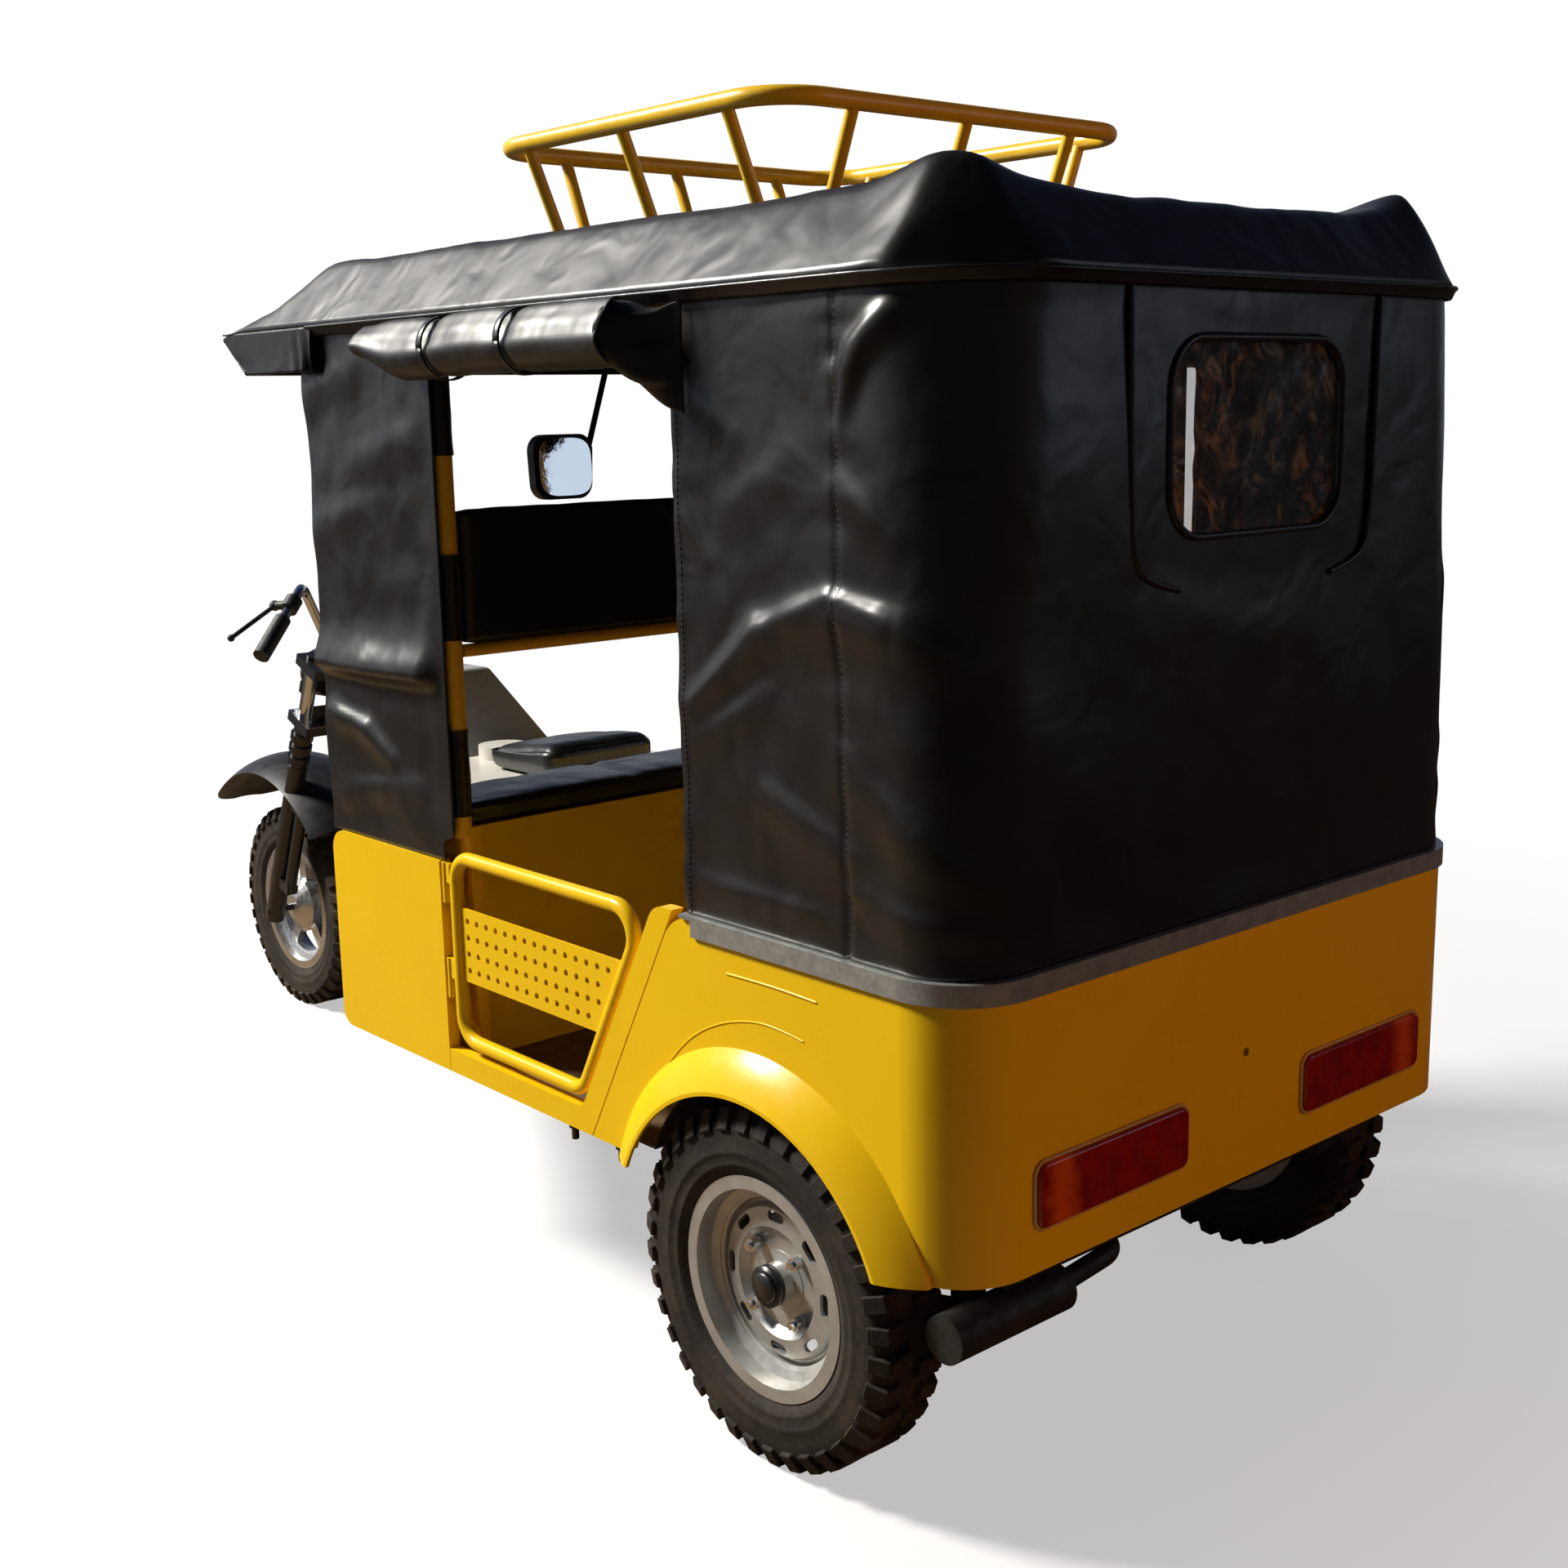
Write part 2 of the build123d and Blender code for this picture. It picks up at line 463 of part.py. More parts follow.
for x in BOWS:
    inner = BOW_HALF_W - TUBE_R - GAP
    bars.append(rod((x, -inner, BOW_Z), (x, inner, BOW_Z), TUBE_R))
HEADER_Z = RAIL_Z
BACKBAR_Z = 1122.0
for x, y, z, r in ((FRONT_POST_X, FRAME_Y - TUBE_R, HEADER_Z, TUBE_R),
                   (REAR_POST_X, FRAME_Y - TUBE_R, HEADER_Z, TUBE_R),
                   (B_POST_X, B_POST_Y - B_POST_R, BACKBAR_Z, 11.0)):
    bars.append(rod((x, -y + GAP, z), (x, y - GAP, z), r))
export("canopy_frame", *bars)

band_half = B_POST_Y - B_POST_R - 2
band = block(B_POST_X - 13, B_POST_X + 13, -band_half, band_half, BACKBAR_Z + 11 + GAP, 1357.0)
export("front_backrest", fillet(band.edges().filter_by(Axis.Y), 9))


# Hood: the roof shell with its visor, and the curtains
def hood(grow):
    """The hood's outer form, shrunk by a cloth's thickness."""
    side = [(ROOF_REAR_X + grow, HEM_Z - 20), (ROOF_REAR_X + grow, ROOF_TOP - grow),
            (ROOF_FRONT_TOP_X - grow / 2, ROOF_TOP - grow), (ROOF_FRONT_TOP_X + 105, 1708.0 - grow),
            (VISOR_TIP_X - 2 * grow, VISOR_TIP_Z - grow), (VISOR_LOW_X - 1.5 * grow, VISOR_LOW_Z - 20),
            (ROOF_REAR_X + 300, VISOR_LOW_Z - 20)]
    plan = round_plan(SEAM_HALF_W - grow, -ROOF_REAR_X - grow, 2 * VISOR_TIP_X, HOOD_CORNER_R - grow)
    skirt = Pos(0, 0, VISOR_LOW_Z - 30) * extrude(plan, SEAM_Z - VISOR_LOW_Z + 30)
    slope = math.degrees(math.atan((SEAM_HALF_W - ROOF_HALF_W) / (ROOF_TOP - SEAM_Z)))
    top = Pos(0, 0, SEAM_Z) * extrude(plan, ROOF_TOP - grow - SEAM_Z, taper=slope)
    return side_prism(side, -2 * SEAM_HALF_W, 2 * SEAM_HALF_W) & (skirt + top)


canopy = hood(0) - hood(CLOTH)
canopy -= block(-900, VISOR_BACK_X, -800, 800, 1400, HEM_Z)
canopy -= block(-900, 1900, -800, 800, 1400, VISOR_LOW_Z)
export("roof_canopy", canopy)

CURTAIN_OUT, CURTAIN_T = -4.0, 6.0
CURTAIN_TOP_R = HOOD_CORNER_R - (SEAM_HALF_W - BODY_HALF_W) + CURTAIN_OUT


def curtain_form(inset, front_x):
    """A solid under the hood whose rear corners open out towards the top."""
    half, back = BODY_HALF_W + CURTAIN_OUT - inset, BODY_REAR + CURTAIN_OUT - inset
    low = round_plan(half, back, front_x, CORNER_R + CURTAIN_OUT - inset)
    high = round_plan(half, back, front_x, CURTAIN_TOP_R - inset)
    return loft([Pos(0, 0, BODY_TOP + STRIP_TOP + GAP) * low, Pos(0, 0, SEAM_Z - 2) * high], ruled=True)


curtain = curtain_form(0, CURTAIN_FRONT_X) - curtain_form(CURTAIN_T, 2 * CURTAIN_FRONT_X)
WIN_HALF_W, WIN_Z0, WIN_Z1, WIN_R = 197.0, 1330.0, 1589.0, 65.0
win_plane = Plane((-BODY_REAR - 40, 0, (WIN_Z0 + WIN_Z1) / 2), x_dir=(0, 1, 0), z_dir=(1, 0, 0))
curtain -= extrude(win_plane * RectangleRounded(2 * WIN_HALF_W, WIN_Z1 - WIN_Z0, WIN_R), 100)
export("rear_curtain", curtain)
film_x = -BODY_REAR - CURTAIN_OUT + CURTAIN_T + GAP
film_plane = Plane((film_x, 0, (WIN_Z0 + WIN_Z1) / 2), x_dir=(0, 1, 0), z_dir=(1, 0, 0))
film_face = RectangleRounded(2 * WIN_HALF_W + 40, WIN_Z1 - WIN_Z0 + 40, WIN_R + 20)
export("rear_window", extrude(film_plane * film_face, 3))

side_cloth = side_prism([(822.0, PANEL_TOP + GAP), (PANEL_FRONT_X, PANEL_TOP + GAP),
                         (PANEL_FRONT_X + 8, SEAM_Z - 2), (822.0, SEAM_Z - 2)],
                        BODY_HALF_W - 10, BODY_HALF_W - 4)
export("front_curtains", *both_sides(side_cloth))
ROLL_X0, ROLL_X1, ROLL_R = 188.0, 868.0, 52.0
ROLL_Y, ROLL_Z = SEAM_HALF_W + 32, SEAM_Z - 54
export("curtain_rolls", *both_sides(rod((ROLL_X0, ROLL_Y, ROLL_Z), (ROLL_X1, ROLL_Y, ROLL_Z), ROLL_R)))

# Roof rack: a ring on splayed legs
RACK_X0, RACK_X1, RACK_HALF_W, RACK_TOP = 150.0, 880.0, 392.0, 1945.0
FOOT_HALF_W, FOOT_INSET, LEG_R, RING_R = 325.0, 66.0, 10.0, 14.0
ring_line = [(RACK_X0, -RACK_HALF_W, RACK_TOP), (RACK_X1, -RACK_HALF_W, RACK_TOP),
             (RACK_X1, RACK_HALF_W, RACK_TOP), (RACK_X0, RACK_HALF_W, RACK_TOP)]
rack = tube_path(ring_line, 90, RING_R, close=True)
foot_z = ROOF_TOP + GAP
SIDE_LEGS = (260.0, 515.0, 770.0)
END_LEGS = (-240.0, 0.0, 240.0)
for x in SIDE_LEGS:
    for sign in (1, -1):
        rack += rod((x, sign * FOOT_HALF_W, foot_z), (x, sign * RACK_HALF_W, RACK_TOP), LEG_R)
for y in END_LEGS:
    rack += rod((RACK_X0 + FOOT_INSET, y, foot_z), (RACK_X0, y, RACK_TOP), LEG_R)
    rack += rod((RACK_X1 - FOOT_INSET, y, foot_z), (RACK_X1, y, RACK_TOP), LEG_R)
rack &= block(RACK_X0 - 50, RACK_X1 + 50, -RACK_HALF_W - 50, RACK_HALF_W + 50, foot_z, RACK_TOP + 50)
export("roof_rack", rack)

# Rear axle with its springs and the drive shaft
axle_end = HUB_Y - 66 - 6
axle = rod((0, -axle_end, REAR_TYRE_R), (0, axle_end, REAR_TYRE_R), 30)
axle += Pos(0, 0, REAR_TYRE_R) * Sphere(92)
axle += rod((70, 0, REAR_TYRE_R), (150, 0, REAR_TYRE_R), 42)
for solid in both_sides(rod((0, axle_end - 10, REAR_TYRE_R), (0, axle_end, REAR_TYRE_R), 90)):
    axle += solid
for solid in both_sides(rod((0, axle_end - 5, REAR_TYRE_R), (0, HUB_Y + 34, REAR_TYRE_R), STUB_R)):
    axle += solid
export("rear_axle", axle)
shaft_end = (ENGINE_X0 + 30, 0.0, 300.0)
shaft = rod((150 + GAP, 0, REAR_TYRE_R), shaft_end, 24)
shaft -= block(ENGINE_X0 - GAP, 1100, -90, 90, 200, 420)
shaft -= block(100, 150 + GAP, -90, 90, 200, 420)
export("drive_shaft", shaft)

LEAF_T, LEAF_W = 9.0, 50.0
SPRING_HALF = 250.0
spring_low = REAR_TYRE_R - 30 - GAP
LEAVES = [(SPRING_HALF, 40.0), (0.75 * SPRING_HALF, 23.0), (0.5 * SPRING_HALF, 10.0)]
spring = None
for step, (half, rise) in enumerate(LEAVES):
    z = spring_low - step * LEAF_T
    top = ThreePointArc((-half, z + rise), (0, z), (half, z + rise))
    low = ThreePointArc((half, z + rise - LEAF_T), (0, z - LEAF_T), (-half, z + rise - LEAF_T))
    face = make_face([top, Line(top @ 1, low @ 0), low, Line(low @ 1, top @ 0)])
    leaf = extrude(Plane.XZ.offset(-RAIL_Y - LEAF_W / 2) * face, LEAF_W)
    spring = leaf if spring is None else spring + leaf
for x in (-SPRING_HALF, SPRING_HALF):
    z = spring_low + LEAVES[0][1] - LEAF_T / 2
    spring += rod((x, RAIL_Y - LEAF_W / 2, z), (x, RAIL_Y + LEAF_W / 2, z), 14)
    spring += block(x - 16, x + 16, RAIL_Y - 19, RAIL_Y + 19, z, RAIL_BOTTOM - GAP)
export("leaf_springs", *both_sides(spring))

# Engine under its cover, exhaust, saddle and the cowl behind the steering head
ENGINE_Z0, ENGINE_Z1 = 255.0, 690.0
engine = block(ENGINE_X0, ENGINE_X1, -ENGINE_HALF_W, ENGINE_HALF_W, ENGINE_Z0, ENGINE_Z1)
export("engine", fillet(engine.edges().filter_by(Axis.Y), 20))
COVER_TOP = 785.0
COVER_REAR_X, COVER_WAIST_X, COVER_FRONT_X = 992.0, 1250.0, 1575.0
cover_plan = [(COVER_REAR_X, -290.0), (COVER_REAR_X, 290.0), (COVER_WAIST_X, 280.0), (COVER_FRONT_X, 165.0),
              (COVER_FRONT_X, -165.0), (COVER_WAIST_X, -280.0)]
cover_face = make_face(Polyline(*cover_plan, close=True))
cover = Pos(0, 0, FLOOR_TOP + GAP) * extrude(cover_face, COVER_TOP - FLOOR_TOP - GAP)
cover = fillet(cover.edges().group_by(Axis.Z)[-1], 26)
cover -= Pos(0, 0, FLOOR_TOP - 20) * extrude(offset(cover_face, -12), COVER_TOP - FLOOR_TOP + 8)
CAP_X, CAP_Y, CAP_R, CAP_H = 1500.0, 30.0, 54.0, 28.0
cover += rod((CAP_X, CAP_Y, COVER_TOP - 4), (CAP_X, CAP_Y, COVER_TOP + CAP_H), CAP_R)
export("engine_cover", cover)
SADDLE_X0, SADDLE_X1, SADDLE_HALF_W = 1165.0, 1410.0, 135.0
SADDLE_REAR_TOP, SADDLE_FRONT_TOP = 870.0, 838.0
saddle_side = [(SADDLE_X0, COVER_TOP + GAP), (SADDLE_X1, COVER_TOP + GAP),
               (SADDLE_X1, SADDLE_FRONT_TOP), (SADDLE_X0, SADDLE_REAR_TOP)]
saddle = side_prism(saddle_side, -SADDLE_HALF_W, SADDLE_HALF_W)
saddle = fillet(saddle.edges().filter_by(Axis.Z), 50)
export("driver_saddle", fillet(saddle.faces().sort_by(Axis.Z)[-1].edges(), 22))
COWL_LOW, COWL_TOP = FLOOR_TOP + GAP, 958.0
COWL_X = WHEELBASE - 840.0
cowl = loft([Pos(COWL_X, 0, COWL_LOW) * Rectangle(210, 330), Pos(COWL_X, 0, 770) * Rectangle(205, 330),
             Pos(COWL_X + 45, 0, COWL_TOP) * Rectangle(115, 104)], ruled=True)
export("front_cowl", fillet(cowl.edges().group_by(Axis.Z)[-1], 16))

PIPE_R, PIPE_Y, PIPE_Z = 15.0, 190.0, 315.8
MUFFLER_X, MUFFLER_R = -328.0, 34.0
MUFFLER_Z = RAIL_BOTTOM - MUFFLER_R - 1
MUFFLER_Y0, MUFFLER_Y1 = 330.0, 560.0
pipe_line = [(ENGINE_X0 + 90, ENGINE_HALF_W + GAP, PIPE_Z), (ENGINE_X0 + 90, PIPE_Y, PIPE_Z),
             (MUFFLER_X, PIPE_Y, PIPE_Z), (MUFFLER_X, MUFFLER_Y0 + 20, MUFFLER_Z)]
exhaust = tube_path(pipe_line, 45, PIPE_R)
exhaust += rod((MUFFLER_X, MUFFLER_Y0, MUFFLER_Z), (MUFFLER_X, MUFFLER_Y1, MUFFLER_Z), MUFFLER_R)
export("exhaust", exhaust)

# Mirror hung from the front bow
MIRROR_X = FRONT_POST_X
stem_top = (MIRROR_X, -72.0, HEADER_Z - TUBE_R - GAP - 1.7)
MIRROR_Y, MIRROR_Z, MIRROR_T = 60.0, 1409.0, 22.0
MIRROR_LOW, MIRROR_HIGH = (66.0, -64.0), (72.0, 62.0)
glass = [(-MIRROR_LOW[0], MIRROR_LOW[1]), MIRROR_LOW, MIRROR_HIGH, (-MIRROR_HIGH[0], MIRROR_HIGH[1])]
mirror_back = side_prism(glass, -MIRROR_T / 2, MIRROR_T / 2, [(corner, 32) for corner in glass])
mirror_solid = rod(stem_top, (MIRROR_X, 0, MIRROR_Z + 10), 6)
mirror_solid += Pos(MIRROR_X, MIRROR_Y, MIRROR_Z) * Rot(0, 0, 90) * mirror_back
export("cab_mirror", mirror_solid)

# Steering: fork, bars, controls, fender and lamp turn about the raked axis
fork = steer_cyl(0, 0, LOWER_CLAMP, UPPER_CLAMP + CLAMP_T, STEM_R)
for z in (LOWER_CLAMP, UPPER_CLAMP):
    clamp = Box(FORK_OFFSET + 62, 2 * FORK_HALF_W + 58, CLAMP_T)
    fork += STEER * Pos(FORK_OFFSET / 2, 0, z + CLAMP_T / 2) * clamp
STANCHION_R, SLIDER_R = 17.0, 24.0
BELLOWS = [(448 + 16 * i, 28 if i % 2 else 22) for i in range(7)]
for sign in (1, -1):
    y = sign * FORK_HALF_W
    fork += steer_cyl(FORK_OFFSET, y, -24, 446, SLIDER_R)
    fork += steer_cyl(FORK_OFFSET, y, 440, UPPER_CLAMP + CLAMP_T + 10, STANCHION_R)
    for z, r in BELLOWS:
        fork += steer_cyl(FORK_OFFSET, y, z - 6, z + 10, r)
    fork += steer_cyl(FORK_OFFSET - 52, y, 96, 350, 15)
    for z in (92, 330):
        fork += STEER * Pos(FORK_OFFSET - 28, y, z + 13) * Box(74, 30, 26)
axle_reach = FORK_HALF_W + 26
fork += rod((WHEELBASE, -axle_reach, FRONT_TYRE_R), (WHEELBASE, axle_reach, FRONT_TYRE_R), AXLE_R)
fork += STEER * Pos(0, 0, UPPER_CLAMP + CLAMP_T + 22) * Box(44, 90, 44)
export("fork", fork)

bar_low = STEER_FOOT + up_axis * (UPPER_CLAMP + CLAMP_T + 44 + 11 + GAP)
BAR = [(bar_low.X, 0.0, bar_low.Z), (bar_low.X, 78.0, bar_low.Z), (WHEELBASE - 445, 175.0, 1122.0),
       (WHEELBASE - 595, 260.0, 1142.0), (WHEELBASE - 680, 405.0, 1015.0)]
bar_line = [(x, -y, z) for x, y, z in reversed(BAR[1:])] + BAR[1:]
grip_end, grip_in = Vector(*BAR[4]), Vector(*BAR[3])
grip_way = (grip_end - grip_in).normalized()
grip_start, grip_tip = grip_end - grip_way * 112, grip_end + grip_way * 4
GRIP_R, BAR_R = 18.0, 11.0
LEVER_AT, LEVER_R = 52.0, 5.0
perch = grip_in + grip_way * LEVER_AT
pivot = perch + Vector(40, 20, -3)
tip = perch + Vector(14, 140, -62)
grip = rod(tuple(grip_start), tuple(grip_tip), GRIP_R) - rod(tuple(grip_start), tuple(grip_end), BAR_R + GAP)
lever = rod(tuple(perch - grip_way * 16), tuple(perch + grip_way * 16), GRIP_R + 1)
lever += rod(tuple(perch), tuple(pivot), 10) + Pos(pivot) * Sphere(12)
lever += rod(tuple(pivot), tuple(tip), LEVER_R) + Pos(tip) * Sphere(LEVER_R + 3)
lever -= rod(tuple(grip_in), tuple(grip_end), BAR_R + GAP)
export("handlebar", tube_path(bar_line, 40, BAR_R))
controls = both_sides(grip) + both_sides(lever)
export("grips", *controls)

FENDER_HALF_W, FENDER_T = 122.0, 4.0
fz = FRONT_TYRE_R
outer = ThreePointArc((-FENDER_HALF_W, fz + FENDER_R - 40), (0, fz + FENDER_R),
                      (FENDER_HALF_W, fz + FENDER_R - 40))
inner = ThreePointArc((FENDER_HALF_W - 5, fz + FENDER_R - 40), (0, fz + FENDER_R - FENDER_T),
                      (-FENDER_HALF_W + 5, fz + FENDER_R - 40))
fender_face = Plane.YZ * make_face([outer, Line(outer @ 1, inner @ 0), inner, Line(inner @ 1, outer @ 0)])
fender = revolve(fender_face, Axis((0, 0, fz), (0, 1, 0)), FENDER_HEEL - FENDER_TIP)
fender = Pos(WHEELBASE, 0, fz) * Rot(0, 90 - FENDER_HEEL, 0) * Pos(0, 0, -fz) * fender
nose_r = FENDER_HALF_W + 6
nose_x = FRONT_REACH - nose_r
nose = Pos(nose_x, 0) * Circle(nose_r) + Pos(nose_x - FENDER_R, 0) * Rectangle(2 * FENDER_R, 2 * nose_r)
fender &= extrude(nose, 3 * FENDER_R)
for sign in (1, -1):
    fender -= steer_cyl(FORK_OFFSET, sign * FORK_HALF_W, 250, 520, SLIDER_R + GAP)
export("front_fender", fender)

LAMP_CENTRE_Z, LAMP_X, LAMP_R = (LOWER_CLAMP + CLAMP_T + UPPER_CLAMP) / 2, 57.0, 60.0
headlamp = STEER * Pos(LAMP_X + 52, 0, LAMP_CENTRE_Z) * Rot(0, 90 + RAKE, 0) * Cylinder(LAMP_R, 60)
headlamp += STEER * Pos(LAMP_X + 10, 0, LAMP_CENTRE_Z) * Rot(0, 90 + RAKE, 0) * Cylinder(36, 36)
bracket_x = FORK_OFFSET + STANCHION_R + GAP + 6
headlamp += STEER * Pos(bracket_x, 0, LAMP_CENTRE_Z) * Box(12, 2 * FORK_HALF_W + 20, 30)
export("headlamp", headlamp)
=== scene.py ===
# %% [markdown]
# # An auto rickshaw, dressed from its CAD frame
#
# The solids from the part's source are loaded as a fixed frame. This lesson
# paints the steel, sews the vinyl hood and curtains, puts lugs on the tyres and
# finishes the small things that show from behind.

# %% Load the frame
import json
import math

import bmesh
import bpy
from mathutils import Matrix, Vector, noise


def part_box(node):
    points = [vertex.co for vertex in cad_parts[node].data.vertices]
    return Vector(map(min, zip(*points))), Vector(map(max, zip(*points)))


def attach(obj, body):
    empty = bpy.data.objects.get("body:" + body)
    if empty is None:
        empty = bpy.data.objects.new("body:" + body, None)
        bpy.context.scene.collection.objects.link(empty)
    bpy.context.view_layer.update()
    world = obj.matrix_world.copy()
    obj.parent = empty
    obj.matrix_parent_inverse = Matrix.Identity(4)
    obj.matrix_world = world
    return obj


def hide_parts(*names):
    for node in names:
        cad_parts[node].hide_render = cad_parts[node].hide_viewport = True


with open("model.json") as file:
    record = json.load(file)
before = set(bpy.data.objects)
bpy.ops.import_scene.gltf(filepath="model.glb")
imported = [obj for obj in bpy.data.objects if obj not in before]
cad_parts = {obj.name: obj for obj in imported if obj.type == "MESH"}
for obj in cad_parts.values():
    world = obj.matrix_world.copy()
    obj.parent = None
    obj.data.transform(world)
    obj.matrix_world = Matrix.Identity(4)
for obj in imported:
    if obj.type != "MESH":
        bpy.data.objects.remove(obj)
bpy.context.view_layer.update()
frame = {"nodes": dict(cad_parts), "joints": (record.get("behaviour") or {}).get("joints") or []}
NODES = frame["nodes"]
print("loaded", len(NODES), "nodes")

# %% [markdown]
# ## Where things are
#
# The source counts every x from the rear axle, in millimetres. The same habit
# is kept here: `at` turns such a point into the frame's metres. The other three
# helpers shape folds: smooth noise, a bump that fades on both sides, and a step.
# What comes in pairs is made in a loop over the two sides.

# %% Places and fold shapes
tyre_low, tyre_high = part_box("rear_tyre_left")
AXLE_X = (tyre_low.x + tyre_high.x) / 2
WHEEL_Z = (tyre_low.z + tyre_high.z) / 2
HUB_Y = (tyre_low.y + tyre_high.y) / 2
SIDES = ((1, "left"), (-1, "right"))


def at(x, y, z):
    """A point given in millimetres from the rear axle."""
    return Vector((x / 1000 + AXLE_X, y / 1000, z / 1000))


def wave(x, y, z, seed=0.0):
    """Smooth noise between about -1 and 1."""
    return noise.noise(Vector((x, y, z + 7.31 * seed)))


def bell(distance, width):
    """A bump that is 1 in the middle and fades over the width."""
    return math.exp(-(distance / width) ** 2)


def smooth(low, high, value):
    """0 at low, 1 at high and an S curve between."""
    t = min(max((value - low) / (high - low), 0.0), 1.0)
    return t * t * (3 - 2 * t)


print("rear axle at x", round(AXLE_X, 4), "wheel centre z", round(WHEEL_Z, 4))

# %% [markdown]
# ## Mesh helpers
#
# Each piece is grown with bmesh operators and left at the origin, so its Object
# coordinates are the frame's own and a texture lies still on it. A sheet starts
# as a grid whose corners are then laid on a surface given by a function.

# %% Making and placing a piece
def piece(name, bm, material, body="body", smooth_shade=True):
    """Turn a bmesh into an object that rides on a body."""
    bmesh.ops.recalc_face_normals(bm, faces=bm.faces)
    mesh = bpy.data.meshes.new(name)
    bm.to_mesh(mesh)
    bm.free()
    for face in mesh.polygons:
        face.use_smooth = smooth_shade
    obj = bpy.data.objects.new(name, mesh)
    bpy.context.scene.collection.objects.link(obj)
    mesh.materials.append(material)
    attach(obj, body)
    return obj


def cloth_grid(columns, rows, point, hole=None):
    """A sheet whose corner (u, v), each from 0 to 1, lies at point(u, v)."""
    bm = bmesh.new()
    bmesh.ops.create_grid(bm, x_segments=columns, y_segments=rows, size=1.0)
    flat = {v: ((v.co.x + 1) / 2, (v.co.y + 1) / 2) for v in bm.verts}
    if hole:
        cut = [f for f in bm.faces if hole(sum(flat[v][0] for v in f.verts) / 4,
                                           sum(flat[v][1] for v in f.verts) / 4)]
        bmesh.ops.delete(bm, geom=cut, context="FACES")
    for v in bm.verts:
        v.co = point(*flat[v])
    return bm


def thicken(obj, depth):
    """Give a sheet its cloth's thickness."""
    mod = obj.modifiers.new("thickness", "SOLIDIFY")
    mod.thickness = depth
    mod.offset = 0
    return obj


def cloth_area(obj):
    """The sheet's own area in square metres."""
    return sum(face.area for face in obj.data.polygons)


print("helpers: piece, cloth_grid, thicken, cloth_area")

# %% [markdown]
# Blocks, bars and bent tubes come next. A block's edges are softened by a small
# bevel, because no real edge is perfectly sharp. Anything round can be turned from
# its section, and a bent tube is a curve with a round section.

# %% Blocks, bars and tubes
def add_box(bm, size, matrix, bevel=0.0):
    """A small block with softened edges."""
    made = bmesh.ops.create_cube(bm, size=1.0, matrix=matrix @ Matrix.Diagonal((*size, 1.0)))
    if bevel:
        edges = {e for v in made["verts"] for e in v.link_edges}
        bmesh.ops.bevel(bm, geom=list(edges), offset=bevel, segments=1, affect="EDGES", profile=0.5,
                        material=-1)


def add_cylinder(bm, radius, length, spot, segments, turn=Matrix(), top=None):
    """A short round bar about its own Z, turned and set at a spot."""
    bmesh.ops.create_cone(bm, cap_ends=True, segments=segments, radius1=radius,
                          radius2=radius if top is None else top, depth=length,
                          matrix=Matrix.Translation(spot) @ turn)


def spin_round(bm, centre, axis, steps):
    """Turn all that a bmesh holds once round an axis."""
    bmesh.ops.spin(bm, geom=bm.verts[:] + bm.edges[:], cent=centre, axis=axis, angle=2 * math.pi,
                   steps=steps, use_merge=True)


def tube(name, points, radius, material, closed=False):
    """A bent bar as a smooth curve through its control points."""
    curve = bpy.data.curves.new(name, "CURVE")
    curve.dimensions = "3D"
    curve.bevel_depth = radius
    curve.bevel_resolution = 4
    curve.use_fill_caps = True
    spline = curve.splines.new("NURBS")
    spline.points.add(len(points) - 1)
    for slot_point, point in zip(spline.points, points):
        slot_point.co = (*point, 1.0)
    spline.order_u = 3
    spline.use_endpoint_u = not closed
    spline.use_cyclic_u = closed
    spline.resolution_u = 6
    obj = bpy.data.objects.new(name, curve)
    bpy.context.scene.collection.objects.link(obj)
    curve.materials.append(material)
    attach(obj, "body")
    return obj


print("helpers: add_box, add_cylinder, spin_round, tube")

# %% [markdown]
# ## Shader helpers
#
# A material is a small graph. These functions add one node each and hand back
# the socket that the next one needs, so a recipe reads like a sum. An input takes
# a plain value or a link, and `feed` tells the two apart.

# %% One node at a time
def feed(tree, socket, value):
    """Set a socket to a number or a colour, or link it to another node's output."""
    if isinstance(value, tuple):
        socket.default_value = (*value, 1.0)
    elif isinstance(value, (int, float)):
        socket.default_value = value
    else:
        tree.links.new(value, socket)


def fill(tree, node, **inputs):
    """Feed a node's inputs by name, with an underscore for each space."""
    for key, value in inputs.items():
        feed(tree, node.inputs[key.replace("_", " ")], value)


def noise_node(tree, coords, scale, detail=4.0, rough=0.55, distortion=0.0):
    node = tree.nodes.new("ShaderNodeTexNoise")
    fill(tree, node, Vector=coords, Scale=scale, Detail=detail, Roughness=rough, Distortion=distortion)
    return node.outputs["Fac"]


def remap(tree, value, low, high, out_low=0.0, out_high=1.0):
    node = tree.nodes.new("ShaderNodeMapRange")
    node.interpolation_type = "SMOOTHSTEP"
    fill(tree, node, Value=value, From_Min=low, From_Max=high, To_Min=out_low, To_Max=out_high)
    return node.outputs["Result"]


print("helpers: feed, fill, noise_node, remap")

# %% [markdown]
# Four more: a sum, a mix of two colours, a bump, and the three axes of a place.
# A Mix node keeps sockets for every kind of data, so its colours go by number.

# %% Sums, mixes and bumps
MIX_FACTOR, MIX_A, MIX_B, MIX_RESULT = 0, 6, 7, 2


def math_node(tree, kind, a, b=0.0):
    node = tree.nodes.new("ShaderNodeMath")
    node.operation = kind
    feed(tree, node.inputs[0], a)
    feed(tree, node.inputs[1], b)
    return node.outputs[0]


def mix_colour(tree, factor, a, b):
    node = tree.nodes.new("ShaderNodeMix")
    node.data_type = "RGBA"
    for index, value in ((MIX_FACTOR, factor), (MIX_A, a), (MIX_B, b)):
        feed(tree, node.inputs[index], value)
    return node.outputs[MIX_RESULT]


